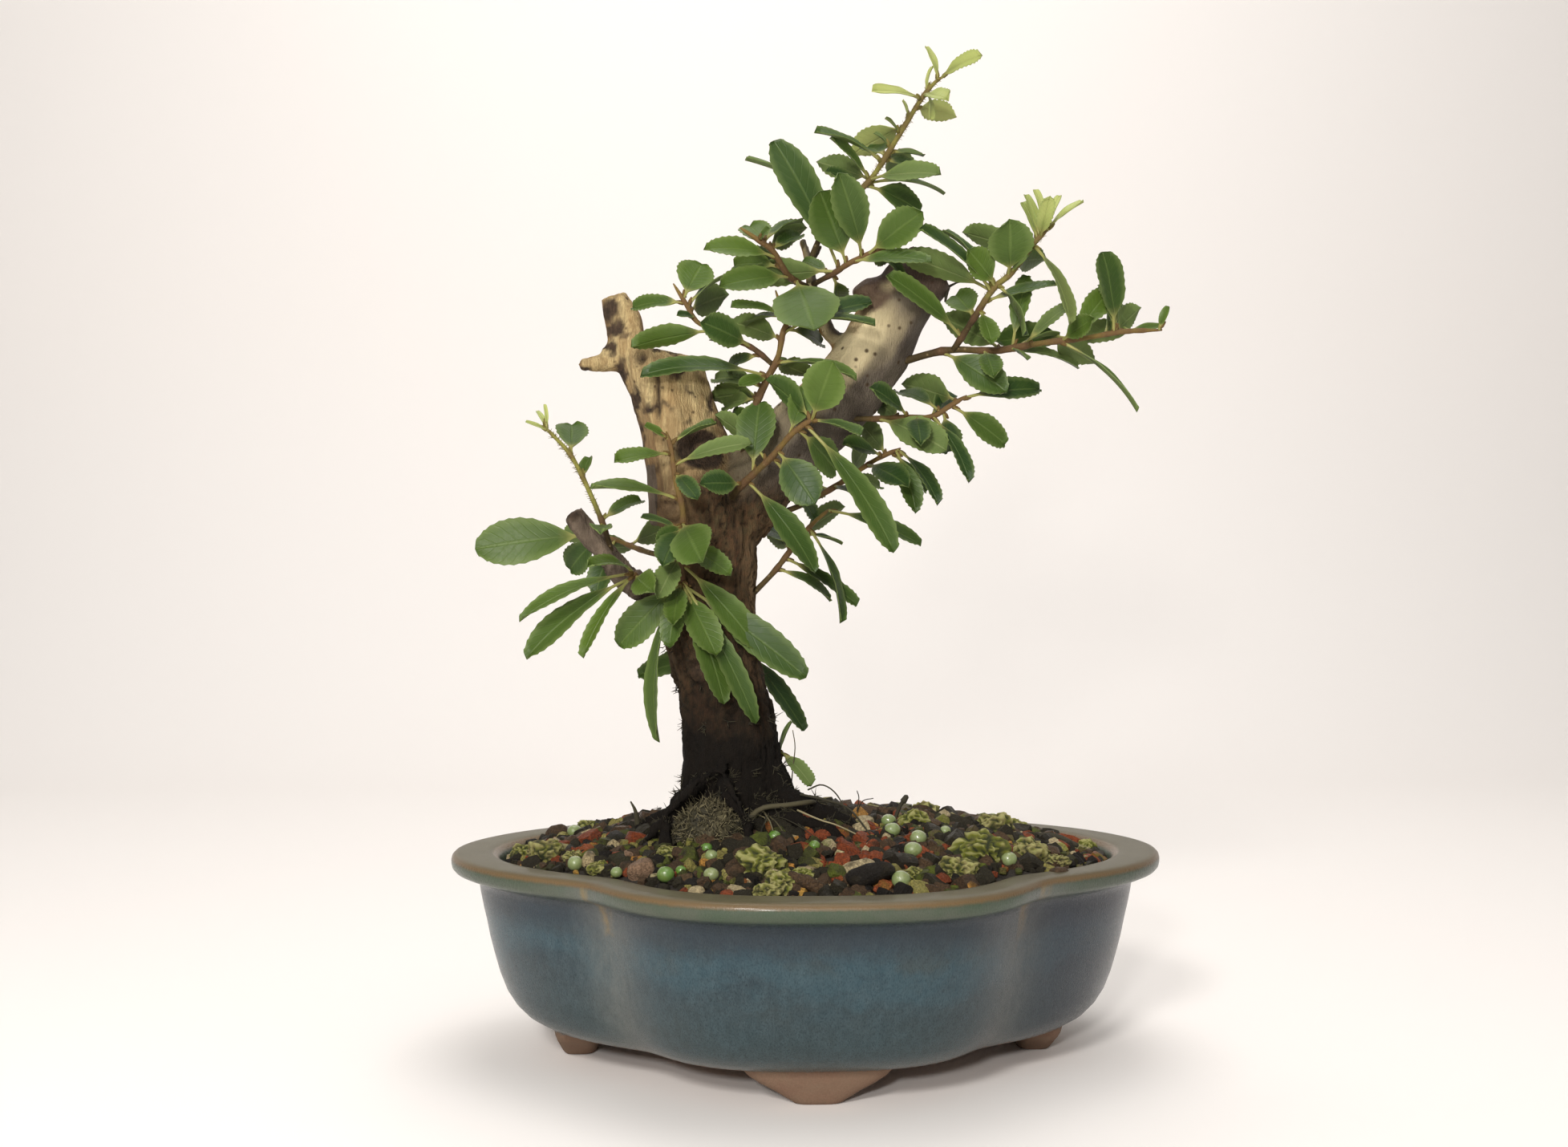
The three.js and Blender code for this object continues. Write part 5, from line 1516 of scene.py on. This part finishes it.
def trunk_relief(points, normals, wood, limb, relief):
    """How far each point is pushed out, where the bark is cracked, and where knots are open"""
    x, _, z = points.T
    lean = points.copy()
    lean[:, 0] += 0.06 * (z - 60)
    # Long plates between cracks, which lean with the trunk
    plates = np.abs(noise_at(lean, 1.9, 4, (1, 1, 0.14)) + 0.35 * noise_at(lean, 1.2, 11))
    cracks = 1 - smoothstep(plates, 0.0, 0.11)
    fine = noise_at(lean, 0.9, 5, (1, 1, 0.3))
    lumps = noise_at(points, 6, 6)
    grain = noise_at(lean, 1.1, 7, (1, 1, 0.12))
    flakes = smoothstep(noise_at(lean, 2.6, 12, (1, 1, 0.35)), 0.0, 0.12)
    bark = (1 - wood) * (1 - limb)
    push = bark * (relief * (1.2 * lumps + 0.5 * fine + 0.8 * flakes - 0.9 * cracks))
    push += wood * (0.3 * grain + 0.45 * lumps)
    push += limb * (0.35 * lumps + 0.08 * fine)
    scar = np.zeros(len(points))
    for *place, size, rise in KNOTS:
        gap = np.linalg.norm(points - np.array(place), axis=1) / size
        push += rise * (np.exp(-((gap - 1) / 0.35) ** 2) - 1.3 * np.exp(-((gap / 0.55) ** 2)))
        scar = np.maximum(scar, np.exp(-((gap / 0.75) ** 2)))
    # One long crack down the bare stub
    bent = x + 32.6 + 0.05 * (z - 144) + 0.4 * noise_at(points, 3, 14)
    crack = np.exp(-((bent / 0.4) ** 2))
    crack *= smoothstep(z, 136, 139) * (1 - smoothstep(z, 148, 150.5))
    crack *= (normals[:, 1] < 0)
    return push - 1.1 * crack, cracks, np.maximum(scar, crack)


class BONSAI_OT_trunk(bpy.types.Operator):
    """Gives the trunk its bark, bare wood, hollow, knots and scars"""

    bl_idname = "bonsai.trunk"
    bl_label = "Trunk"

    def rough_form(self, context):
        """A copy of the solid trunk with the notch, the spur, the knobs and the hollow"""
        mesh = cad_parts["trunk"].data.copy()
        trunk = bpy.data.objects.new("trunk_bark", mesh)
        context.scene.collection.objects.link(trunk)
        tidy_shell(trunk)
        front, back = -24 * MM, 12 * MM
        for corners in TRUNK_CUTS:
            deselect()
            bpy.ops.mesh.primitive_cube_add(size=1)
            block = bpy.context.object
            for vertex in block.data.vertices:
                right, behind, high = (c > 0 for c in vertex.co)
                x, z = corners[(2 if right else 3) if high else (1 if right else 0)]
                vertex.co = (x * MM, back if behind else front, z * MM)
            tidy_shell(block)
            combined(trunk, block)
        hollow = ball(4)
        points = points_of(hollow) * MM
        ragged = 1 + 0.14 * noise_at(points, 0.6, 8)[:, None]
        move_points(hollow, points * ragged * HOLLOW[1] + np.array(HOLLOW[0]))
        combined(trunk, hollow)
        added = mesh_piece("knobs", [
            tube(smooth_line(path, 12), np.linspace(*radii, 12), 12, 0.3)
            for path, radii in TRUNK_KNOBS
        ])
        take(trunk)
        added.select_set(True)
        bpy.ops.object.join()
        return trunk

    def execute(self, context):
        settings = context.scene.bonsai_bark
        trunk = self.rough_form(context)
        apply_modifier(trunk, "REMESH", mode="VOXEL", voxel_size=BARK_VOXEL * MM,
                       use_smooth_shade=True)
        apply_modifier(trunk, "SMOOTH", factor=0.5, iterations=6)
        points, normals = points_of(trunk), normals_of(trunk)
        x, _, z = points.T
        wood, limb, dark, limb_share = trunk_masks(points, normals)
        push, cracks, scars = trunk_relief(points, normals, wood, limb, settings.relief / MM)
        move_points(trunk, points + normals * push[:, None])
        # The sawn end of the limb, the rough stub and the pale callus beside it
        past_end = (points - np.array(LIMB_PATH[-1])) @ np.array(LIMB_WAY)
        end = smoothstep(past_end, -1.5, 0.4) * limb
        end = np.maximum(end * 0.75, 0.6 * limb * smoothstep(limb_share, 0.8, 0.92))
        stub = np.linalg.norm(points - np.array(STUB_END), axis=1)
        stub = (1 - smoothstep(stub + 0.8 * noise_at(points, 2, 15), 4.6, 6.4)) * limb
        callus = np.linalg.norm(points - np.array(CALLUS), axis=1) / CALLUS_SIZE
        callus = np.exp(-(callus**2)) * limb
        dark = np.maximum(dark, scars)
        dark = np.maximum(dark, np.maximum(end, stub * 0.9)) * (1 - 0.7 * callus)
        # Grey wood low at the left, and painted light on the sunny side of the limb, with a painted
        # highlight at its brightest spot
        beside = (x < -33) & (z < 128)
        across = -normals[:, 0] - 0.35 * normals[:, 1]
        sunny = smoothstep(across, 0.05, 0.8) * (1 - smoothstep(limb_share, 0.7, 0.82))
        sunny *= 0.25 + 0.75 * smoothstep(z + 3 * noise_at(points, 4, 16), 136, 149)
        lit = np.hypot(x - HIGHLIGHT_SPOT[0], z - HIGHLIGHT_SPOT[1]) / HIGHLIGHT_SPOT[2]
        for name, values in {
            "wood": wood,
            "limb": limb,
            "dark": dark,
            "grey": beside * smoothstep(z, 92, 100),
            "crack": cracks,
            # sunny holds the painted light on the limb's sunny side and the pale callus; bright
            # holds the painted highlight
            "sunny": np.maximum(sunny, callus),
            "bright": np.exp(-lit**2) * sunny,
            # edge: where the surface faces left or right, for painted light and painted shade on
            # the sides
            "edge": smoothstep(np.abs(normals[:, 0]), 0.6, 0.95),
        }.items():
            paint(trunk, name, values)
        finished(trunk, bark_material(settings), ["trunk"])
        return {"FINISHED"}


def bark_material(settings):
    """Old fissured bark, weathered bare wood and smooth speckled young bark, with painted light on
    the limb's sunny side and on the trunk's sides, a painted highlight on the limb, and painted
    shade low on the trunk, in the hollow and on the sides of the bare wood
    """
    material, tree, shader = new_material("Bark and bare wood")
    height = height_mm(tree)
    limb, edge, sunny = (marked(tree, name) for name in ("limb", "edge", "sunny"))
    streaks = mottled(tree, 2.4, 5.0, 0.18)
    clouds = mottled(tree, 7.0, 1.4, 0.16)
    lined = mottled(tree, 1.5, 14.0, 0.08)
    # A ragged height for the painted shade low on the trunk
    shade_height = plus(tree, height, times(tree, clouds["Mask"], 12.0))
    worn = layered(
        tree, settings.bark,
        (streaks["Mask"], settings.bark_light),
        (clouds["Mask"], 0.6, settings.bark),
        (clouds["Flecks"], 0.35, (0.17, 0.075, 0.035)),
        # Painted light on the trunk's sides above the dark base
        (edge, ranged(tree, height, 76, 90, 0, 0.65), (0.19, 0.125, 0.065)),
        # Painted shade: the bark goes near black low on the trunk, under the crown, up to a ragged
        # height
        (ranged(tree, shade_height, 74, 102, 0.96, 0), (0.006, 0.005, 0.004)),
        (marked(tree, "crack"), 0.75, (0.012, 0.009, 0.006)),
    )
    pale = layered(
        tree, settings.wood,
        (streaks["Flecks"], scaled(settings.wood, 0.5)),
        (lined["Mask"], 0.4, (0.12, 0.062, 0.026)),
        (clouds["Mask"], 0.5, (0.34, 0.2, 0.08)),
        # Painted shade on the sides of the bare wood
        (edge, 0.7, (0.2, 0.11, 0.05)),
        (ranged(tree, height, 118, 137, 0.85, 0), (0.14, 0.085, 0.042)),
        (dotted(tree, 2.1, 0.35)["Mask"], 0.85, (0.06, 0.035, 0.018)),
    )
    # The limb: dark bark on its shaded side, painted light on its sunny side and a painted
    # highlight, with lenticels
    young = layered(
        tree, mixed(tree, clouds["Mask"], (0.07, 0.055, 0.042), (0.14, 0.115, 0.085)),
        (sunny, mixed(tree, clouds["Flecks"], settings.limb, (0.6, 0.5, 0.28))),
        (marked(tree, "bright"), (0.78, 0.66, 0.4)),
        # Orange painted light along the sunny edge of the limb
        (times(tree, edge, sunny), 0.8, (0.55, 0.27, 0.08)),
        (dotted(tree, 2.3, 0.4)["Mask"], 0.9, (0.05, 0.028, 0.012)),
    )
    grey = mixed(tree, streaks["Mask"], (0.19, 0.145, 0.105), (0.07, 0.052, 0.038))
    # One dark tone for the stains, scars and sawn ends, and for the painted shade inside the hollow
    stain_and_shade_tone = mixed(tree, clouds["Flecks"], (0.035, 0.025, 0.018), (0.08, 0.052, 0.034))
    stain_and_shade_tone = mixed(tree, limb, stain_and_shade_tone, (0.075, 0.043, 0.03))
    tone = layered(
        tree, worn, (marked(tree, "wood"), pale), (marked(tree, "grey"), grey), (limb, young),
        (marked(tree, "dark"), stain_and_shade_tone),
    )
    feed(tree, shader, {
        "Base Color": tone,
        "Roughness": ranged(tree, limb, 0, 1, 0.9, 0.55),
        "Specular IOR Level": 0.16,
    })
    bumped(tree, shader, streaks["Flecks"], 0.25)
    return material


# Leafy shoots


class Dice:
    """The same even draws as the part's source takes for the leaves behind a stem"""

    def __init__(self, seed):
        self.state = seed

    def draw(self):
        """The next number from 0 to 1"""
        self.state = (self.state * 1664525 + 1013904223) % 2**32
        return self.state / 2**32


def along(path, share):
    """The point at a share of a path of straight pieces"""
    path = np.asarray(path, float)
    lengths = np.linalg.norm(np.diff(path, axis=0), axis=1)
    reach = share * lengths.sum()
    for k, length in enumerate(lengths):
        if reach <= length or k == len(lengths) - 1:
            return path[k] + (path[k + 1] - path[k]) * reach / length
        reach -= length


def leaf_frame(base, tip, turn):
    """The leaf's axis, the way its upper side faces, and the way across it"""
    axis = unit(tip - base)
    front = np.array([0.0, -1.0, 0.0])
    front = unit(front - axis * front.dot(axis))
    up = np.cross(axis, front)
    if up[2] < 0:
        up = -up
    angle = math.radians(turn)
    face = front * math.sin(angle) + up * math.cos(angle)
    return axis, face, np.cross(axis, face)


def leaf_rows(order, number, stem):
    """The leaves of a stem as rows, with those that grow behind it by rule"""
    rows = [list(row) for row in stem["leaves"]]
    behind = stem.get("behind", 0)
    dice = Dice(100 * order + number + 1)
    for k in range(behind):
        share = 0.4 + 0.55 * (k + dice.draw()) / behind
        aside = (1 if k % 2 else -1) * (0.3 + 0.7 * dice.draw())
        lift = -0.2 + 0.9 * dice.draw()
        length = 15 + 6 * dice.draw()
        tip = along(stem["path"], share) + unit(np.array([aside, 1, lift])) * length
        rows.append([share, *tip, BEHIND_WIDTH * length, BEHIND_TURN])
    return rows


def settled_tip(base, tip, turn, tree):
    """The tip after the swing that the solid leaf was given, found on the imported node"""
    length = np.linalg.norm(tip - base)
    best = None
    for depth, lift in SWINGS:
        swung = tip + np.array([0, depth * length, lift * length])
        swung = base + unit(swung - base) * length
        face = leaf_frame(base, swung, turn)[1]
        gap = tree.find(Vector((swung - face * KEEL) * MM))[2]
        if best is None or gap < best[0] - 1e-7:
            best = (gap, swung)
    return best[1]


def blade():
    """One flat leaf blade of unit length: a grid spread over its rows and thickened"""
    deselect()
    bpy.ops.mesh.primitive_grid_add(
        x_subdivisions=BLADE_COLUMNS, y_subdivisions=len(BLADE_ROWS) - 1, size=1
    )
    obj = bpy.context.object
    for vertex in obj.data.vertices:
        row = round((vertex.co.y + 0.5) * (len(BLADE_ROWS) - 1))
        share = BLADE_ROWS[row][0]
        across = 2 * vertex.co.x
        vertex.co = (across, share - 0.012 * across**2 * (share > 0.9), 0)
    apply_modifier(obj, "SOLIDIFY", thickness=1, offset=0)
    return template(obj)


def leaf(shape, base, tip, width, turn, rng):
    """One leaf: a copy of the blade, toothed, arched, folded, and laid from stem to tip"""
    template_points, faces = shape
    axis, face, side = leaf_frame(base, tip, turn)
    length = np.linalg.norm(tip - base)
    across, share, layer = template_points.T
    rows = np.array(BLADE_ROWS)
    half = np.interp(share, rows[:, 0], rows[:, 1])
    if width < NARROW:
        slender = np.interp(share, rows[:, 0], np.sqrt(rows[:, 1]) * 0.93)
        half = np.where(share > 0.2, np.minimum(slender, 1), half)
    index = np.round(np.interp(share, rows[:, 0], np.arange(len(rows))))
    teeth = TOOTH * np.where(index % 2 == 0, 1, -1) * (share > 0.42) * (share < 0.99)
    breadth = np.maximum(half * width / 2 + teeth * (width > 3), 0.28)
    petiole = 1 - smoothstep(share, 0.16, 0.3)
    fold = (np.abs(across) ** 1.3 - 0.5) * min(0.22 * width, 1.0) * smoothstep(share, 0.2, 0.5)
    arch = LEAF_ARCH * length * 4 * share * (1 - share)
    curl = rng.uniform(-0.05, 0.09) * length * share**3
    twist = rng.uniform(-0.3, 0.3) * share
    wave = 0.05 * width * np.sin(share * 9 + rng.uniform(0, 6)) * across * smoothstep(share, .3, .6)
    thick = BLADE_THICKNESS * (1 - 0.5 * np.abs(across)) * (1 + 1.1 * petiole)
    rise = arch - curl + fold + wave + layer * thick
    spread = across * breadth
    sideways = spread * np.cos(twist) - rise * np.sin(twist) * 0.2
    lifted = rise + spread * np.sin(twist)
    points = base + np.outer(share * length, axis) + np.outer(lifted, face)
    points += np.outer(sideways, side)
    marks = {"along": share, "across": across, "under": (layer < 0).astype(float),
             "petiole": petiole}
    return (points, faces), marks


# Painted shade: whole shoots that lie in shade, and all leaves near the middle of the crown, take
# darker leaves
SHADED_SHOOTS = ("shoot_right_inner", "shoot_right_mid", "shoot_right_low", "shoot_back")
CROWN = (8, -5, 138)
CROWN_REACH = 26
# Share of the leaves that show their underside
FLIPPED = 0.12
# Leaves under this width keep their width for longer
NARROW = 4.5
STEM_SIDES = 10
HAIRS_PER_MM = 7
LEAF_SEED = 21


def leaf_material(settings, name):
    """Leathery leaf with a pale midrib and side veins, and a paler dull underside, with painted
    shade in the crown, towards the base and along the fold, and a painted sheen along the edges
    """
    material, tree, shader = new_material(name)
    tone, along_leaf, below = (marked(tree, mark) for mark in ("tone", "along", "under"))
    mottle = mottled(tree, 5.0)
    across = maths(tree, "ABSOLUTE", marked(tree, "across"))
    slant = maths(tree, "SUBTRACT", times(tree, along_leaf, 11.0), times(tree, across, 2.2))
    veins = ranged(tree, maths(tree, "PINGPONG", slant, 0.5), 0.0, 0.12, 1, 0)
    midrib = ranged(tree, across, 0.02, 0.1, 1, 0)
    upper = layered(
        tree, settings.leaf,
        # The tone mark is random variation with painted shade deep in the crown
        (tone, settings.leaf_dark),
        (mottle["Mask"], 0.35, scaled(settings.leaf, 0.6)),
        (veins, 0.08, settings.underside),
        (midrib, 0.2, (0.22, 0.3, 0.08)),
    )
    under = layered(
        tree, settings.underside,
        # The painted shade in the tone mark also darkens the underside
        (tone, 0.45, scaled(settings.underside, 0.55)),
        (veins, 0.12, (0.12, 0.18, 0.06)),
        (midrib, 0.35, (0.28, 0.33, 0.13)),
    )
    # Painted shade towards the leaf's base and along its midrib fold
    crease_shade = ranged(tree, along_leaf, 0.2, 0.6, 0.45, 0.1)
    both = layered(
        tree, upper,
        (below, under),
        (marked(tree, "fresh"), 0.92, settings.young),
        (crease_shade, ranged(tree, across, 0.2, 0.9, 1, 0), (0.03, 0.055, 0.012)),
        # Painted sheen: paler green along the leaf's edges
        (ranged(tree, across, 0.6, 1.0, 0, 0.4), (0.19, 0.25, 0.075)),
        (marked(tree, "petiole"), (0.3, 0.29, 0.09)),
    )
    gloss = ranged(tree, below, 0, 1, 0.4, 0.65)
    feed(tree, shader, {
        "Base Color": both,
        "Roughness": plus(tree, gloss, times(tree, mottle["Flecks"], 0.12)),
        "Specular IOR Level": 0.27,
        "Subsurface Weight": 0.12,
        "Subsurface Radius": (0.0006, 0.0012, 0.0003),
    })
    bumped(tree, shader, plus(tree, times(tree, midrib, -1.0), times(tree, veins, -0.35)), 0.08)
    return material


def stem_material(settings):
    """Thin shoot bark, brown at the foot and greener at the tip, with pale dots"""
    material, tree, shader = new_material("Shoot bark")
    mottle = mottled(tree, 2.0, 3.0)
    fresh = mixed(tree, marked(tree, "green"), (0.2, 0.132, 0.032), (0.26, 0.25, 0.05))
    feed(tree, shader, {
        "Base Color": layered(
            tree, settings.stem,
            (mottle["Mask"], scaled(settings.stem, 0.5)),
            (marked(tree, "young"), 0.85, fresh),
            (dotted(tree, 1.3, 0.4)["Mask"], 0.5, (0.3, 0.22, 0.11)),
            (marked(tree, "node"), (0.12, 0.06, 0.03)),
        ),
        "Roughness": 0.62,
        "Specular IOR Level": 0.25,
    })
    bumped(tree, shader, mottle["Flecks"], 0.12)
    return material


class BONSAI_OT_shoots(bpy.types.Operator):
    """Grows every leafy shoot: its stems with their nodes and buds, and its leaves"""

    bl_idname = "bonsai.shoots"
    bl_label = "Leafy Shoots"

    def stems(self, name, shoot, rows, rng):
        """The stems of one shoot, with a swelling and a bud at each leaf"""
        heap = Heap()
        for stem, leaves in zip(shoot, rows):
            path, fresh = stem["path"], "fresh" in stem
            count = max(10, int(sum(np.linalg.norm(np.diff(path, axis=0), axis=1))))
            line = smooth_line(path, count)
            share = np.linspace(0, 1, count)
            radii = np.interp(share, [0, 1], np.array(stem["thick"]) / 2) * STEM_SHARE
            radii *= np.interp(share, [0.94, 1], [1, 0.4])
            swell = np.zeros(count)
            for row in leaves:
                swell = np.maximum(swell, np.exp(-(((share - row[0]) * count / 1.1) ** 2)))
            bumpy = 0.05 * noise_at(line, 2.5, 3)
            young = smoothstep(share, *((0.25, 0.5) if fresh else (0.1, 0.9)))
            heap.add(tube(line, radii * (1 + 0.28 * swell + bumpy), STEM_SIDES),
                     young=np.concatenate([np.repeat(young, STEM_SIDES), [0, 1]]),
                     node=np.concatenate([np.repeat(swell * 0.7, STEM_SIDES), [0, 0]]),
                     green=fresh)
            way = unit(line[-1] - line[0])
            if fresh:
                # Fine hairs on the tender end
                picks = [rng.uniform(0.35, 0.97) for k in range(count * HAIRS_PER_MM)]
                ways = [unit(np.cross(way, drawn(rng, (-1, 1), (-1, 1), (-1, 1))) + 0.3 * way)
                        for pick in picks]
                roots = [along(path, pick) + 0.35 * out for pick, out in zip(picks, ways)]
                lengths = [rng.uniform(0.4, 0.9) for pick in picks]
                for part, tip in tufts(zip(roots, ways, lengths), rng, width=0.09):
                    heap.add(part, young=0.9, node=0.4 * tip, green=1)
            for row in leaves:
                base = along(path, row[0])
                out = unit(np.array(row[1:4]) - base)
                lean = unit(out + 0.6 * way)
                bud = base + out * 0.5 + np.outer((0, 0.9, 1.7), lean)
                heap.add(tube(bud, [0.5, 0.5, 0.22], sides=5), young=0.8, node=0.3, green=fresh)
        return heap.piece(name + "_stems")

    def leaves(self, name, shoot, rows, shape, tree, rng):
        """The leaves of one shoot, as one piece"""
        heap = Heap()
        for stem, leaves in zip(shoot, rows):
            for row in leaves:
                base = along(stem["path"], row[0])
                tip = settled_tip(base, np.array(row[1:4], float), row[5], tree)
                limit = stem.get("fresh", 2)
                fresh = smoothstep(row[0], limit - 0.12, limit + 0.06)
                width = row[4] * (1 - 0.4 * fresh * (name == "shoot_low_left"))
                part, marks = leaf(shape, base, tip, width, row[5], rng)
                if rng.random() < FLIPPED and width < 9:
                    marks["under"] = 1 - marks["under"]
                # Painted shade: leaves near the middle of the crown and on the shaded shoots get a
                # darker tone, over a random one
                near = np.exp(-((np.linalg.norm((base + tip) / 2 - CROWN) / CROWN_REACH) ** 2))
                tone = min(1, rng.random() + 0.3 * (name in SHADED_SHOOTS) + 0.45 * near)
                heap.add(part, **marks, tone=tone, fresh=fresh * (1 - 0.3 * rng.random()))
        return heap.piece(name + "_leaves")

    def execute(self, context):
        settings = context.scene.bonsai_leaves
        rng = random.Random(LEAF_SEED)
        shape = blade()
        grown = leaf_material(settings, "Leaf")
        young = leaf_material(settings, "Young leaf")
        bark = stem_material(settings)
        for order, (name, shoot) in enumerate(SHOOTS.items()):
            points = points_of(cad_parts[name]) * MM
            tree = KDTree(len(points))
            for k, point in enumerate(points):
                tree.insert(Vector(point), k)
            tree.balance()
            rows = [leaf_rows(order, number, stem) for number, stem in enumerate(shoot)]
            finished(self.stems(name, shoot, rows, rng), bark, [name])
            leaves = self.leaves(name, shoot, rows, shape, tree, rng)
            material, slot = (young, "young_leaf") if name == "shoot_top" else (grown, "leaf")
            finished(leaves, material, [name], angle=50)
        return {"FINISHED"}


# The stage

# Floor and wall in one sheet: the radius of the bend between them, how far they run past it, the
# width, and the rows in each flat part and in the bend
BEND = 280
STAGE_REACH = 1500
STAGE_WIDTH = 4000
FLAT_ROWS = 4
BEND_ROWS = 16
# The camera of the photograph: level, and turned a little to the right
CAMERA_PLACE = (-19.85, -386.5, 104.3)
CAMERA_TURN = -2.2
CAMERA_LENS = 40
# Soft lights: place, aim, size, share of the key light's power, tint
LIGHTS = [
    ("key_light", (-270, -800, 530), (0, 0, 90), 150, 1, (1, 0.965, 0.93)),
    ("front_light", (-108, -610, 231), (10, 0, 110), 45, 0.38, (1, 0.97, 0.94)),
    ("wall_light", (0, 250, 900), (60, 750, 250), 500, 0.62, (1, 0.98, 0.96)),
    ("top_light", (60, -60, 640), (0, 60, 40), 420, 0.2, (1, 0.98, 0.965)),
]


def light(name, place, target, size, power, tint):
    """A soft square light aimed at a point"""
    deselect()
    bpy.ops.object.light_add(type="AREA", location=scaled(place, MM))
    lamp = bpy.context.object
    lamp.name = name
    lamp.data.size = size * MM
    lamp.data.energy = power
    lamp.data.color = tint
    way = Vector([t - p for t, p in zip(target, place)])
    lamp.rotation_euler = way.to_track_quat("-Z", "Y").to_euler()


class BONSAI_OT_stage(bpy.types.Operator):
    """Sets the floor that rises into a wall, the lights and the camera"""

    bl_idname = "bonsai.stage"
    bl_label = "Stage"

    def execute(self, context):
        settings = context.scene.bonsai_stage
        wall = settings.wall / MM
        deselect()
        rows = 2 * FLAT_ROWS + BEND_ROWS
        bpy.ops.mesh.primitive_grid_add(x_subdivisions=2, y_subdivisions=rows, size=1)
        floor = bpy.context.object
        floor.name = "floor_and_wall"
        for vertex in floor.data.vertices:
            row = round((vertex.co.y + 0.5) * rows)
            if row < FLAT_ROWS:
                y, z = -STAGE_REACH + row * (wall - BEND + STAGE_REACH) / FLAT_ROWS, 0
            elif row <= rows - FLAT_ROWS:
                angle = (row - FLAT_ROWS) / BEND_ROWS * math.pi / 2
                y, z = wall - BEND + BEND * math.sin(angle), BEND - BEND * math.cos(angle)
            else:
                y, z = wall, BEND + (row - rows + FLAT_ROWS) / FLAT_ROWS * STAGE_REACH
            vertex.co = (vertex.co.x * STAGE_WIDTH * MM, y * MM, z * MM)
        material, tree, shader = new_material("Warm white paper")
        clouds = mottled(tree, 30.0, 1.0, 0.4)["Mask"]
        shade = scaled(settings.backdrop, 0.9)
        feed(tree, shader, {
            "Base Color": layered(tree, settings.backdrop, (clouds, 0.03, shade)),
            "Roughness": 0.9,
            "Specular IOR Level": 0.2,
        })
        floor.data.materials.append(material)
        take(floor)
        bpy.ops.object.shade_smooth()

        world = bpy.data.worlds.new("Studio")
        context.scene.world = world
        world.use_nodes = True
        background = world.node_tree.nodes["Background"]
        background.inputs["Color"].default_value = (1, 0.985, 0.965, 1)
        background.inputs["Strength"].default_value = settings.sky
        for name, place, target, size, share, tint in LIGHTS:
            light(name, place, target, size, settings.key * share, tint)
        context.scene.view_settings.view_transform = "Standard"

        deselect()
        bpy.ops.object.camera_add(
            location=scaled(CAMERA_PLACE, MM),
            rotation=(math.radians(90), 0, math.radians(CAMERA_TURN)),
        )
        camera = bpy.context.object
        camera.data.lens = CAMERA_LENS
        camera.data.sensor_width = 36
        camera.data.clip_start = 0.01
        context.scene.camera = camera
        return {"FINISHED"}


class BONSAI_PT_panel(bpy.types.Panel):
    """Lists the pieces of the bonsai and their settings"""

    bl_idname = "BONSAI_PT_panel"
    bl_label = "Firethorn Bonsai"
    bl_space_type = "VIEW_3D"
    bl_region_type = "UI"
    bl_category = "Bonsai"

    def draw(self, context):
        scene = context.scene
        groups = [
            (scene.bonsai_pot, ("bonsai.pot", "bonsai.screens")),
            (scene.bonsai_soil, ("bonsai.soil", "bonsai.pellets", "bonsai.moss")),
            (scene.bonsai_bark, ("bonsai.trunk",)),
            (scene.bonsai_leaves, ("bonsai.shoots",)),
            (scene.bonsai_stage, ("bonsai.stage",)),
        ]
        for settings, names in groups:
            box = self.layout.box()
            for setting in settings.bl_rna.properties:
                if setting.identifier not in ("name", "rna_type"):
                    box.prop(settings, setting.identifier)
            for name in names:
                box.operator(name)


SETTINGS = {
    "bonsai_pot": PotSettings,
    "bonsai_soil": SoilSettings,
    "bonsai_bark": BarkSettings,
    "bonsai_leaves": LeafSettings,
    "bonsai_stage": StageSettings,
}
CLASSES = (
    *SETTINGS.values(), BONSAI_OT_pot, BONSAI_OT_screens, BONSAI_OT_soil, BONSAI_OT_pellets,
    BONSAI_OT_moss, BONSAI_OT_trunk, BONSAI_OT_shoots, BONSAI_OT_stage, BONSAI_PT_panel,
)


def register():
    for made in CLASSES:
        bpy.utils.register_class(made)
    for name, settings in SETTINGS.items():
        setattr(bpy.types.Scene, name, PointerProperty(type=settings))


def unregister():
    for name in SETTINGS:
        delattr(bpy.types.Scene, name)
    for made in reversed(CLASSES):
        bpy.utils.unregister_class(made)


def main():
    register()
    bpy.ops.bonsai.pot()
    bpy.ops.bonsai.screens()
    bpy.ops.bonsai.soil()
    bpy.ops.bonsai.pellets()
    bpy.ops.bonsai.moss()
    bpy.ops.bonsai.trunk()
    bpy.ops.bonsai.shoots()
    bpy.ops.bonsai.stage()


if __name__ == "__main__":
    main()
